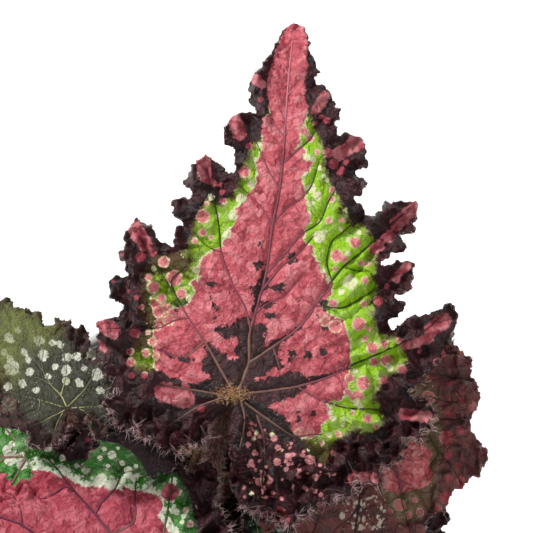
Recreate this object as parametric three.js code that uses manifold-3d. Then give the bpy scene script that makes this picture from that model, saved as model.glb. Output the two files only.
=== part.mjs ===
// A rex begonia with large, lobed, waved leaves, growing in a plain round pot.
// Millimetres, +Z up. The origin is the middle of the pot's flat base.
// The pot's middle axis is Z, and the largest leaf reaches out towards +Y.

import * as THREE from "three";
import { mergeVertices } from "three/addons/utils/BufferGeometryUtils.js";
import Module from "manifold-3d";

const wasm = await Module();
wasm.setup();

// ---------------------------------------------------------------- driving dimensions

const POT = {
  height: 126,
  baseRadius: 55,
  rimRadius: 77,
  wall: 2.4,
  floor: 3,
  bandHeight: 17, // the rim band round the top
  bandDepth: 2.2, // how far it stands out from the wall
  lip: 4.8, // the rim's width, with round edges
  lipRound: 3,
  grooveOut: 5, // a groove under the base runs between these distances from its edge
  grooveIn: 14,
  grooveDepth: 1.6,
  grooveSlope: 2,
  drainRadius: 4,
  drainCircle: 34,
  drainCount: 6,
  sides: 40,
};

const SOIL = {
  top: 108,
  bottom: 12,
  mound: 5, // how far the middle stands above the edge
  grain: 1.1, // height of its lumps
  rings: 4,
  gap: 0.4, // between it and the pot, and round the rootstock
};

const CROWN = {
  radius: 13, // the creeping rootstock that every leaf stalk grows from
  sunk: 14, // how deep it sits in its hole in the soil
  shoulder: 115, // where its upright stub ends, and its lumps cover it
  lumps: [[0, 0, 117, 11], [7, -4, 116, 7], [-6, 6, 116, 7]], // x, y, z and radius
  lumpFlat: 0.8, // a lump's height over its width
  stalkCircle: 8.5, // how far from the middle the stalks start, and how high
  stalkStart: 111,
};

const STALK = {
  base: 3.1, // radius where it starts, and under the blade
  tip: 2.0,
  neck: 7, // the last stretch, square to the blade
  neckIn: 2.8, // how far its start stays inside the blade's own place
  low: [0.22, 0.4], // points between: how far out, and how high, from start to neck
  middle: [0.6, 0.78],
  sides: 7,
  steps: 9,
};

const BLADE = {
  thickness: 0.9,
  seat: 0.9, // between a stalk's end and the leaf over it, at the middle
  rings: [0.36, 0.72, 1], // rows of points between a line's start and the edge
  lowRings: [0.52, 1],
  innerPull: 0.9, // draws the inner rows in towards the midrib
  sway: 0.05, // how far each leaf's outline differs from the drawn one
  swayRate: 0.9,
  swayPhase: 2.1,
  ruffleFrom: 0.5, // the ruffle grows from here on a line to the edge
  ruffles: [[5.2, 0.6, 1.7], [2.9, 0.4, 3.4]], // length in mm, share of the height, phase
};

// ---------------------------------------------------------------- the leaf's outline

// The outline is drawn on a leaf whose midrib is PATTERN_LENGTH units long. The stalk meets it
// at 0,0 and y runs up the leaf. A third value of 1 marks a small tooth or notch.
const PATTERN_LENGTH = 371;
const TIP = [56, 367];

const RIGHT_EDGE = [
  [67, 358], [72, 346, 1], [77, 328], [80, 317, 1], [77, 306], [90, 300, 1],
  [96, 286], [101, 274, 1], [93, 262], [98, 254, 1], [110, 255, 1], [124, 252],
  [128, 228], [115, 216], [128, 205], [120, 194, 1], [113, 190], [124, 178, 1],
  [132, 173], [143, 187, 1], [160, 185, 1], [178, 184], [173, 158, 1], [158, 152],
  [165, 139], [150, 136, 1], [140, 128], [155, 126, 1], [171, 128], [169, 100],
  [154, 96], [164, 85, 1], [149, 62], [168, 75, 1], [207, 85], [205, 55],
  [196, 30, 1], [178, 14], [166, -2], [190, -20], [180, -40, 1], [158, -48],
  [160, -66, 1], [140, -72, 1], [138, -88], [115, -82], [100, -104], [88, -102, 1],
  [70, -120], [48, -130], [32, -112, 1], [14, -119], [2, -104], [1, -56],
];

const LEFT_EDGE = [
  [44, 354], [34, 338, 1], [24, 324], [14, 314, 1], [9, 300], [11, 286, 1],
  [18, 276], [8, 276, 1], [-7, 270], [-14, 252, 1], [-8, 242, 1], [-1, 230],
  [-10, 214], [-22, 222], [-33, 232], [-48, 220, 1], [-55, 205], [-47, 194, 1],
  [-66, 188], [-62, 172, 1], [-52, 164, 1], [-62, 158], [-66, 142, 1], [-80, 148],
  [-86, 163], [-103, 168], [-112, 150, 1], [-118, 135], [-108, 120], [-126, 110],
  [-124, 94, 1], [-112, 86], [-116, 76, 1], [-140, 70], [-138, 50, 1], [-130, 30],
  [-122, 12, 1], [-112, 0], [-128, -14], [-116, -32, 1], [-96, -34], [-90, -48, 1],
  [-74, -58], [-56, -52], [-40, -50, 1], [-30, -32],
];

// The line from the midrib to each outline point starts this far up the midrib, from the tip
// down. After these points the lines all start at the stalk.
const TIP_START = 0.93;
const LINE_STARTS = [
  0.9, 0.86, 0.8, 0.76, 0.72, 0.68, 0.63, 0.58, 0.55, 0.52, 0.48, 0.44,
  0.4, 0.36, 0.32, 0.28, 0.25, 0.22, 0.18, 0.15, 0.11, 0.08, 0.05,
];

// A leaf with shallower lobes has each outline point drawn in towards the mean of its neighbours,
// this many on each side.
const LOBE_SPAN = 4;

const MIDRIB = new THREE.CatmullRomCurve3(
  [[0, 0], [10, 28], [17, 75], [27, 117], [34, 152], [42, 200], [49, 262], TIP]
    .map(([x, y]) => new THREE.Vector3(x, y, 0)),
);

// ---------------------------------------------------------------- the leaves

// at: where the stalk meets the blade. heading: the compass angle, from +X towards +Y, that the
// pattern's y axis points. pitch: how far the pattern's sheet tips up at its far end, in degrees.
// roll: how far its right side tips down. length: from stalk to tip. lobes: how deep the lobes
// are, from 0 to 1. fall and arch: how the blade drops away from that sheet along its length.
// cup: how its sides rise. base: how the lobes behind the stalk rise. wave: height of the ruffled
// edge. seed: which random shape and ruffle it has. detail: it has all of the small teeth, and not
// only the main ones. low: it has fewer rows of points. mirror: it grows left-handed.
// stalkFrom: the angle round the rootstock that the stalk leaves it at, if not the leaf's own.
// stalkVia: a point that the stalk bends round.
const LEAVES = [
  { name: "leaf_large_back", at: [22.5, 26.8, 190], heading: 90, pitch: 20, roll: 0, length: 131,
    fall: -0.1, arch: -0.0011, cup: -0.0006, base: -0.0022, wave: 3.2, seed: 1, detail: true,
    stalkFrom: -12 },
  { name: "leaf_back_left", at: [-38, 27, 172], heading: 133, pitch: 4, roll: 16, length: 60,
    lobes: 0.7, fall: -0.12, arch: -0.002, cup: -0.001, base: -0.002, wave: 2, seed: 2,
    stalkVia: [-24, 31] },
  { name: "leaf_left", at: [-8, -34, 165], heading: 162, pitch: 8, roll: 3, length: 132,
    fall: -0.12, arch: -0.0012, cup: -0.0006, base: -0.001, wave: 3, seed: 3, mirror: true },
  { name: "leaf_right", at: [73, 42, 165], heading: 271, pitch: 4, roll: 5, length: 106, lobes: 0.4,
    fall: -0.1, arch: -0.0014, cup: -0.0008, base: -0.001, wave: 2.6, seed: 4 },
  { name: "leaf_front_right", at: [50, -60, 141], heading: 300, pitch: 2, roll: -4, length: 112,
    fall: -0.14, arch: -0.0014, cup: -0.0006, base: -0.0005, wave: 2.8, seed: 5, mirror: true },
  { name: "leaf_inner_right", at: [30, -20, 150], heading: 344, pitch: 5, roll: 0, length: 62,
    fall: -0.12, arch: -0.0014, cup: -0.0006, base: -0.0005, wave: 2.4, seed: 15, low: true },
  { name: "leaf_front", at: [2, -82, 153], heading: 262, pitch: -4, roll: 0, length: 100,
    fall: -0.14, arch: -0.0014, cup: -0.0006, base: -0.0005, wave: 2.6, seed: 6 },
  { name: "leaf_mid_back", at: [24, 49, 150], heading: 82, pitch: 0, roll: 0, length: 80,
    fall: -0.12, arch: -0.0014, cup: -0.0006, base: -0.0005, wave: 2.4, seed: 16, low: true,
    mirror: true },
  { name: "leaf_low_front_left", at: [-40, -66, 142], heading: 238, pitch: -8, roll: 0, length: 92,
    fall: -0.14, arch: -0.0014, cup: -0.0004, base: -0.001, wave: 2.2, seed: 7, low: true },
  { name: "leaf_low_left", at: [-70, -4, 132], heading: 178, pitch: -10, roll: 0, length: 94,
    fall: -0.14, arch: -0.0014, cup: -0.0004, base: 0.0002, wave: 2.2, seed: 8, low: true,
    mirror: true },
  { name: "leaf_low_back_left", at: [-54, 16, 147], heading: 160, pitch: -6, roll: 0, length: 90,
    fall: -0.14, arch: -0.0014, cup: -0.0004, base: -0.001, wave: 2.2, seed: 9, low: true,
    mirror: true },
  { name: "leaf_low_back", at: [16, 54, 133], heading: 78, pitch: -6, roll: 0, length: 68,
    fall: -0.14, arch: -0.0014, cup: -0.0004, base: 0, wave: 2.2, seed: 10, low: true,
    mirror: true },
  { name: "leaf_low_back_right", at: [56, 42, 133], heading: 44, pitch: -4, roll: 0, length: 56,
    fall: -0.14, arch: -0.0014, cup: -0.0004, base: 0, wave: 1.8, seed: 11, low: true },
  { name: "leaf_low_right", at: [63, -27, 131], heading: 327, pitch: -9, roll: 0, length: 78,
    fall: -0.14, arch: -0.0014, cup: -0.0004, base: -0.001, wave: 2, seed: 12, low: true,
    mirror: true },
  { name: "leaf_young_centre", at: [-3, 13.5, 176], heading: 205, pitch: 4, roll: 0, length: 30,
    fall: -0.1, arch: -0.002, cup: 0.003, base: 0.001, wave: 1.8, seed: 13, low: true,
    stalkVia: [-2, 19] },
  { name: "leaf_young_front", at: [-14, -4, 136], heading: 200, pitch: 30, roll: 0, length: 20,
    fall: -0.1, arch: -0.002, cup: 0.012, base: 0.001, wave: 1.2, seed: 14, low: true,
    mirror: true },
];

// ---------------------------------------------------------------- leaf maths

const radians = (degrees) => (degrees * Math.PI) / 180;

function smoothstep(low, high, value) {
  const t = Math.min(1, Math.max(0, (value - low) / (high - low)));
  return t * t * (3 - 2 * t);
}

// One column for each outline point, round the leaf from its right base over the tip to its left
// base: the edge point, and how far up the midrib its line starts.
function columnsOf(leaf) {
  const side = (edge) => edge.map((point, k) => ({ point, start: LINE_STARTS[k] ?? 0 }));
  const all = [...side(RIGHT_EDGE).reverse(), { point: TIP, start: TIP_START }, ...side(LEFT_EDGE)];
  const depth = leaf.lobes ?? 1;
  const sway = leaf.seed > 1 ? BLADE.sway : 0;
  const edgeOf = (k) => {
    const near = all.slice(Math.max(0, k - LOBE_SPAN), k + LOBE_SPAN + 1);
    const gain = 1 + sway * Math.sin(BLADE.swayRate * k + BLADE.swayPhase * leaf.seed);
    const along = (axis) => {
      const mean = near.reduce((sum, other) => sum + other.point[axis], 0) / near.length;
      return gain * (mean + (all[k].point[axis] - mean) * depth);
    };
    return new THREE.Vector2(along(0), along(1));
  };
  return all.map(({ point, start }, k) => ({ point, start, edge: edgeOf(k) }))
    .filter(({ point }) => leaf.detail || point[2] !== 1);
}

// Adds each column's distance along the edge, in units of the pattern.
function measureEdge(columns) {
  let length = 0;
  columns.forEach((column, k) => {
    if (k > 0) length += column.edge.distanceTo(columns[k - 1].edge);
    column.along = length;
  });
}

function sheetOf(leaf) {
  const heading = radians(leaf.heading);
  const pitch = radians(leaf.pitch);
  const ahead = new THREE.Vector3(
    Math.cos(heading) * Math.cos(pitch), Math.sin(heading) * Math.cos(pitch), Math.sin(pitch));
  const right = new THREE.Vector3(Math.sin(heading), -Math.cos(heading), 0);
  right.applyAxisAngle(ahead, radians(leaf.roll));
  const normal = new THREE.Vector3().crossVectors(right, ahead);
  return { ahead, right, normal, at: new THREE.Vector3(...leaf.at) };
}

// How far the blade stands off its sheet at u across and v along it, in millimetres.
function rise(leaf, u, v) {
  const along = v > 0 ? leaf.fall * v + leaf.arch * v * v : leaf.base * v * v;
  return along + leaf.cup * u * u;
}

// The ruffle of the edge, along mm round it.
function ruffle(leaf, along) {
  const wave = ([length, share, phase]) => share * Math.sin(along / length + phase * leaf.seed);
  return leaf.wave * BLADE.ruffles.reduce((sum, ruffles) => sum + wave(ruffles), 0);
}

function bladeGeometry(leaf) {
  const columns = columnsOf(leaf);
  measureEdge(columns);
  const unit = leaf.length / PATTERN_LENGTH;
  const sheet = sheetOf(leaf);
  const side = leaf.mirror ? -1 : 1;
  const top = [];

  const addPoint = (x, y, offset) => {
    const u = side * x * unit;
    const v = y * unit;
    const point = sheet.at.clone().addScaledVector(sheet.right, u).addScaledVector(sheet.ahead, v)
      .addScaledVector(sheet.normal, rise(leaf, u, v) + offset);
    return top.push(point) - 1;
  };

  const starts = new Map();
  for (const column of columns) {
    const foot = MIDRIB.getPoint(column.start);
    if (!starts.has(column.start)) starts.set(column.start, addPoint(foot.x, foot.y, 0));
    const reach = new THREE.Vector2(foot.x, foot.y);
    column.rows = [starts.get(column.start)];
    for (const t of leaf.low ? BLADE.lowRings : BLADE.rings) {
      const pull = t < 1 ? BLADE.innerPull : 1;
      const at = reach.clone().lerp(column.edge, t * pull);
      const offset = ruffle(leaf, column.along * unit) * smoothstep(BLADE.ruffleFrom, 1, t);
      column.rows.push(addPoint(at.x, at.y, offset));
    }
  }

  const faces = [];
  for (let k = 0; k + 1 < columns.length; k++) {
    const [a, b] = [columns[k].rows, columns[k + 1].rows];
    if (a[0] !== b[0]) faces.push([a[0], a[1], b[0]]);
    faces.push([b[0], a[1], b[1]]);
    for (let row = 1; row + 1 < a.length; row++) {
      faces.push([a[row], a[row + 1], b[row + 1]], [a[row], b[row + 1], b[row]]);
    }
  }
  const first = columns[0].rows;
  const last = columns[columns.length - 1].rows;
  const rim = [...first, ...columns.slice(1, -1).map((column) => column.rows.at(-1)),
    ...last.slice(1).reverse()];
  return sheetSolid(top, faces, rim, sheet.normal, leaf.mirror);
}

// A solid from a sheet of points, its triangles and its closed rim: the same triangles again
// below, a wall between.
function sheetSolid(top, faces, rim, normal, turned) {
  const bottom = top.map((point) => point.clone().addScaledVector(normal, -BLADE.thickness));
  const positions = [...top, ...bottom].flatMap((point) => point.toArray());
  const shift = top.length;
  const index = [];
  const add = (a, b, c) => index.push(...(turned ? [a, c, b] : [a, b, c]));
  for (const [a, b, c] of faces) {
    add(a, b, c);
    add(a + shift, c + shift, b + shift);
  }
  rim.forEach((a, k) => {
    const b = rim[(k + 1) % rim.length];
    add(a, a + shift, b + shift);
    add(a, b + shift, b);
  });
  const geometry = new THREE.BufferGeometry();
  geometry.setAttribute("position", new THREE.Float32BufferAttribute(positions, 3));
  geometry.setIndex(index);
  return geometry;
}

// ---------------------------------------------------------------- solids

function toSolid(geometry) {
  const bare = geometry.clone();
  bare.deleteAttribute("normal");
  bare.deleteAttribute("uv");
  const merged = mergeVertices(bare, 1e-4);
  return new wasm.Manifold(new wasm.Mesh({
    numProp: 3,
    vertProperties: new Float32Array(merged.attributes.position.array),
    triVerts: new Uint32Array(merged.index.array),
  }));
}

function toGeometry(solid) {
  const mesh = solid.getMesh();
  const geometry = new THREE.BufferGeometry();
  geometry.setAttribute("position", new THREE.Float32BufferAttribute(mesh.vertProperties, 3));
  geometry.setIndex(new THREE.Uint32BufferAttribute(mesh.triVerts, 1));
  return geometry;
}

function turned(points, sides) {
  const geometry = new THREE.LatheGeometry(points.map(([r, z]) => new THREE.Vector2(r, z)), sides);
  return geometry.rotateX(Math.PI / 2);
}

function upright(radius, low, high, sides) {
  const geometry = new THREE.CylinderGeometry(radius, radius, high - low, sides);
  return geometry.rotateX(Math.PI / 2).translate(0, 0, (low + high) / 2);
}

// ---------------------------------------------------------------- pot and soil

// The pot wall's outer radius at a height.
const potRadius = (z) => POT.baseRadius + ((POT.rimRadius - POT.baseRadius) * z) / POT.height;

function potGeometry() {
  const { height, baseRadius, wall, floor, bandHeight, bandDepth, lip, lipRound } = POT;
  const bandLow = height - bandHeight;
  const band = potRadius(bandLow);
  const rim = potRadius(height);
  const [grooveOut, grooveIn] = [baseRadius - POT.grooveOut, baseRadius - POT.grooveIn];
  const profile = [
    [0, 0], [grooveIn, 0], [grooveIn + POT.grooveSlope, POT.grooveDepth],
    [grooveOut - POT.grooveSlope, POT.grooveDepth], [grooveOut, 0], [baseRadius - 2, 0],
    [baseRadius, 2], [band - bandDepth, bandLow - 1.5], [band, bandLow],
    [rim, height - lipRound], [rim - 0.2 * lip, height - 0.7], [rim - lip / 2, height],
    [rim - 0.8 * lip, height - 0.7], [rim - lip, height - lipRound],
    [band - bandDepth - wall, bandLow - 3], [baseRadius - wall + 0.8, floor + 3],
    [baseRadius - wall - 2, floor], [0, floor],
  ];
  let pot = toSolid(turned(profile, POT.sides));
  for (let k = 0; k < POT.drainCount; k++) {
    const angle = ((k + 0.5) * 2 * Math.PI) / POT.drainCount;
    const hole = upright(POT.drainRadius, -1, floor + 1, 16);
    hole.translate(POT.drainCircle * Math.cos(angle), POT.drainCircle * Math.sin(angle), 0);
    pot = pot.subtract(toSolid(hole));
  }
  return toGeometry(pot);
}

// The pot's inner radius below its rim band.
function potInside(z) {
  const bandLow = POT.height - POT.bandHeight;
  const low = [POT.baseRadius - POT.wall + 0.8, POT.floor + 3];
  const high = [potRadius(bandLow) - POT.bandDepth - POT.wall, bandLow - 3];
  return low[0] + ((high[0] - low[0]) * (z - low[1])) / (high[1] - low[1]);
}

function soilHeight(radius, angle) {
  const edge = potInside(SOIL.top - SOIL.mound);
  const mound = SOIL.mound * (1 - (radius / edge) ** 2);
  const lumps = Math.sin(5 * angle + radius * 0.31) * Math.cos(radius * 0.47 - 2 * angle);
  return SOIL.top - SOIL.mound + mound + SOIL.grain * lumps;
}

function soilGeometry() {
  const edgeTop = SOIL.top - SOIL.mound - SOIL.grain - 1;
  const edge = potInside(edgeTop) - SOIL.gap;
  const profile = [
    [0, SOIL.bottom], [potInside(SOIL.bottom) - SOIL.gap, SOIL.bottom], [edge, edgeTop],
  ];
  for (let ring = SOIL.rings; ring > 0; ring--) {
    profile.push([(edge * ring) / (SOIL.rings + 0.4), SOIL.top]);
  }
  profile.push([0, SOIL.top]);
  const geometry = turned(profile, POT.sides);
  const position = geometry.attributes.position;
  for (let k = 0; k < position.count; k++) {
    const [x, y, z] = [position.getX(k), position.getY(k), position.getZ(k)];
    if (z < SOIL.top - 0.01) continue;
    const radius = Math.hypot(x, y);
    position.setZ(k, radius < 0.01 ? SOIL.top : soilHeight(radius, Math.atan2(y, x)));
  }
  const hole = upright(CROWN.radius + SOIL.gap, SOIL.top - CROWN.sunk, SOIL.top + 20, 20);
  return toGeometry(toSolid(geometry).subtract(toSolid(hole)));
}

// ---------------------------------------------------------------- rootstock and stalks

// A round stalk along a curve, thinning from base to tip.
function stalkGeometry(curve, baseRadius, tipRadius) {
  const circle = new THREE.Shape();
  for (let k = 0; k < STALK.sides; k++) {
    const angle = (2 * Math.PI * k) / STALK.sides;
    const [x, y] = [baseRadius * Math.cos(angle), baseRadius * Math.sin(angle)];
    if (k === 0) circle.moveTo(x, y);
    else circle.lineTo(x, y);
  }
  const geometry = new THREE.ExtrudeGeometry(circle, {
    steps: STALK.steps, bevelEnabled: false, extrudePath: curve,
  });
  const centres = curve.getSpacedPoints(STALK.steps);
  const position = geometry.attributes.position;
  const point = new THREE.Vector3();
  for (let k = 0; k < position.count; k++) {
    point.fromBufferAttribute(position, k);
    let ring = 0;
    centres.forEach((centre, c) => {
      if (centre.distanceTo(point) < centres[ring].distanceTo(point)) ring = c;
    });
    const radius = baseRadius + ((tipRadius - baseRadius) * ring) / STALK.steps;
    point.sub(centres[ring]).multiplyScalar(radius / baseRadius).add(centres[ring]);
    position.setXYZ(k, point.x, point.y, point.z);
  }
  return geometry;
}

// From the rootstock's top, out to under the blade, ending square to it.
function stalkCurve(leaf) {
  const { at, normal, ahead } = sheetOf(leaf);
  const angle = leaf.stalkFrom === undefined ? Math.atan2(at.y, at.x) : radians(leaf.stalkFrom);
  const out = new THREE.Vector3(Math.cos(angle), Math.sin(angle), 0);
  const start = out.clone().multiplyScalar(CROWN.stalkCircle).setZ(CROWN.stalkStart);
  const up = normal.clone().addScaledVector(ahead, -leaf.fall * 0.5).normalize();
  const end = at.clone().addScaledVector(up, -BLADE.thickness - BLADE.seat);
  const neck = end.clone().addScaledVector(up, -STALK.neck).addScaledVector(out, -STALK.neckIn);
  const between = ([outward, upward]) => start.clone().lerp(neck, outward)
    .setZ(start.z + upward * (neck.z - start.z));
  const low = between(STALK.low);
  const middle = between(STALK.middle);
  if (leaf.stalkVia) middle.set(...leaf.stalkVia, middle.z);
  return new THREE.CatmullRomCurve3([start, low, middle, neck, end]);
}

function crownGeometry() {
  const low = SOIL.top - CROWN.sunk + SOIL.gap;
  let crown = toSolid(upright(CROWN.radius, low, CROWN.shoulder, 20));
  for (const [x, y, z, radius] of CROWN.lumps) {
    const lump = new THREE.SphereGeometry(radius, 12, 8).scale(1, 1, CROWN.lumpFlat);
    crown = crown.add(toSolid(lump.translate(x, y, z)));
  }
  for (const leaf of LEAVES) {
    crown = crown.add(toSolid(stalkGeometry(stalkCurve(leaf), STALK.base, STALK.tip)));
  }
  return toGeometry(crown);
}

// ---------------------------------------------------------------- the plant

const FINISH = {
  pot: { color: 0xf1f0ec, roughness: 0.35 },
  soil: { color: 0x2c2119, roughness: 1 },
  crown: { color: 0x6a4030, roughness: 0.7 },
  leaf: { color: 0x9a4352, roughness: 0.5 },
};

function piece(name, geometry, finish) {
  const mesh = new THREE.Mesh(geometry, new THREE.MeshStandardMaterial({ ...finish, metalness: 0 }));
  mesh.name = name;
  return mesh;
}

const plant = new THREE.Group();
plant.add(piece("pot", potGeometry(), FINISH.pot));
plant.add(piece("soil", soilGeometry(), FINISH.soil));
plant.add(piece("crown_and_stalks", crownGeometry(), FINISH.crown));
for (const leaf of LEAVES) plant.add(piece(leaf.name, bladeGeometry(leaf), FINISH.leaf));

export default plant;
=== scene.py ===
"""A rex begonia in a plain round pot: the finished plant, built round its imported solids.

Places and sizes are worked out in millimetres and stored in metres, +Z up, with the origin in
the middle of the pot's base. The leaves share one drawn pattern, whose midrib is PATTERN_LENGTH
units long, and each leaf lays that pattern on its own waved sheet.
"""

import math

import bpy
import numpy as np
from bpy.props import FloatProperty, FloatVectorProperty, IntProperty, PointerProperty
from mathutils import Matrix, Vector
from mathutils.bvhtree import BVHTree
from mathutils.kdtree import KDTree


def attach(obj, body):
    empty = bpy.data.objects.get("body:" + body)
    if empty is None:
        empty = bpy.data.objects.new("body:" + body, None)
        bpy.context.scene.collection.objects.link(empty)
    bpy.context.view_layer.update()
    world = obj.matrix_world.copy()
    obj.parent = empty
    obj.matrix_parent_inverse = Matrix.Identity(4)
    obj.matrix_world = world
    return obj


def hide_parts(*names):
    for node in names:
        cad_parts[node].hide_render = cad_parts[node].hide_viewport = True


bl_info = {
    "name": "Potted rex begonia",
    "version": (1, 0, 0),
    "blender": (4, 5, 0),
    "location": "3D View > Sidebar > Begonia",
    "description": "Leaves, stalks, hairs, soil and pot of a rex begonia",
    "category": "Add Mesh",
}

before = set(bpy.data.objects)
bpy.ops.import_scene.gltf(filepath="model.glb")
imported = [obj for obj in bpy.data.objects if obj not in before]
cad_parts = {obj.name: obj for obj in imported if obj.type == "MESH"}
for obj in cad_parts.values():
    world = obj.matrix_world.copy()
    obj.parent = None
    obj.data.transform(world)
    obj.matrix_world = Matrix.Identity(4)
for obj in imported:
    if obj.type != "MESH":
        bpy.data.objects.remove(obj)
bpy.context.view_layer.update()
MM = 0.001

# ---------------- sizes, in millimetres

POT = dict(height=126, base=55, rim=77, wall=2.4, floor=3, band_height=17, band_depth=2.2, lip=4.8,
           lip_round=3, groove_out=5, groove_in=14, groove_depth=1.6, groove_slope=2,
           drain_radius=4, drain_circle=34, drain_count=6)
# edge: the soil's radius at its top. foot: how far out the pot's inside is at the soil's foot,
# from the pot's base less its wall. level: the radius where the mound ends. clear: the radius of
# the middle, where nothing is strewn.
SOIL = dict(top=108, bottom=12, mound=5, gap=0.4, edge=65.6, foot=2.2, level=66.5, clear=12.5)
CROWN = dict(lumps=[(0, 0, 117, 11), (7, -4, 116, 7), (-6, 6, 116, 7)], flat=0.8, low=94.4,
             shoulder=115, radius=13, stalk_circle=8.5, stalk_start=111, middle=112, bark=0.35)
STALK = dict(base=3.1, tip=2.0, neck=7, neck_in=2.8, low=(0.22, 0.4), middle=(0.6, 0.78))
BLADE = dict(thickness=0.9, seat=0.9, sway=0.05, sway_rate=0.9, sway_phase=2.1, ruffle_from=0.5,
             ruffles=[(5.2, 0.6, 1.7), (2.9, 0.4, 3.4)])

HAIR = dict(edge=0.1, blade=0.09, stalk=0.095)  # the hairs' radii at their roots
HAIR_TURN = 6.28  # how far round a hair or crumb may be turned, in radians
RAY_HEIGHT = 25.0  # how far over a blade the rays start that find its surface
JOINED = 1e-6  # points of a turned piece that are nearer than this, in metres, are one

# ---------------- the drawn pattern

# The stalk meets the blade at 0,0 and y runs up the leaf. A third value of 1 marks a small tooth.
PATTERN_LENGTH = 371
TIP = (56, 367)
RIGHT_EDGE = [
    (67, 358), (72, 346, 1), (77, 328), (80, 317, 1), (77, 306), (90, 300, 1),
    (96, 286), (101, 274, 1), (93, 262), (98, 254, 1), (110, 255, 1), (124, 252),
    (128, 228), (115, 216), (128, 205), (120, 194, 1), (113, 190), (124, 178, 1),
    (132, 173), (143, 187, 1), (160, 185, 1), (178, 184), (173, 158, 1), (158, 152),
    (165, 139), (150, 136, 1), (140, 128), (155, 126, 1), (171, 128), (169, 100),
    (154, 96), (164, 85, 1), (149, 62), (168, 75, 1), (207, 85), (205, 55),
    (196, 30, 1), (178, 14), (166, -2), (190, -20), (180, -40, 1), (158, -48),
    (160, -66, 1), (140, -72, 1), (138, -88), (115, -82), (100, -104), (88, -102, 1),
    (70, -120), (48, -130), (32, -112, 1), (14, -119), (2, -104), (1, -56),
]
LEFT_EDGE = [
    (44, 354), (34, 338, 1), (24, 324), (14, 314, 1), (9, 300), (11, 286, 1),
    (18, 276), (8, 276, 1), (-7, 270), (-14, 252, 1), (-8, 242, 1), (-1, 230),
    (-10, 214), (-22, 222), (-33, 232), (-48, 220, 1), (-55, 205), (-47, 194, 1),
    (-66, 188), (-62, 172, 1), (-52, 164, 1), (-62, 158), (-66, 142, 1), (-80, 148),
    (-86, 163), (-103, 168), (-112, 150, 1), (-118, 135), (-108, 120), (-126, 110),
    (-124, 94, 1), (-112, 86), (-116, 76, 1), (-140, 70), (-138, 50, 1), (-130, 30),
    (-122, 12, 1), (-112, 0), (-128, -14), (-116, -32, 1), (-96, -34), (-90, -48, 1),
    (-74, -58), (-56, -52), (-40, -50, 1), (-30, -32),
]
TIP_START = 0.93
LINE_STARTS = [
    0.9, 0.86, 0.8, 0.76, 0.72, 0.68, 0.63, 0.58, 0.55, 0.52, 0.48, 0.44,
    0.4, 0.36, 0.32, 0.28, 0.25, 0.22, 0.18, 0.15, 0.11, 0.08, 0.05,
]
LOBE_SPAN = 4
MIDRIB = [(0, 0), (10, 28), (17, 75), (27, 117), (34, 152), (42, 200), (49, 262), TIP]

# What is drawn on the large leaf is given in pixels of the photograph, with its stalk at NAVEL.
NAVEL = (238, 392)
SINUS = (-2, -8)  # where the open base ends, behind the stalk
# The photograph's view, in mm and degrees, with the focal length and frame in its pixels.
CAMERA = dict(target=(32.3, 85.2, 156), distance=933, elevation=70, focal=2557, frame=533,
              sensor=36)
PIXEL = CAMERA["focal"] / CAMERA["distance"]  # about how many pixels a millimetre takes up
FAR = 50.0  # how far outside a zone with no part near it a point counts as, in pattern units


def drawn(points):
    """Photograph pixels, with any further values kept, in the pattern's units."""
    return [(x - NAVEL[0], NAVEL[1] - y, *rest) for x, y, *rest in points]


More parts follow.
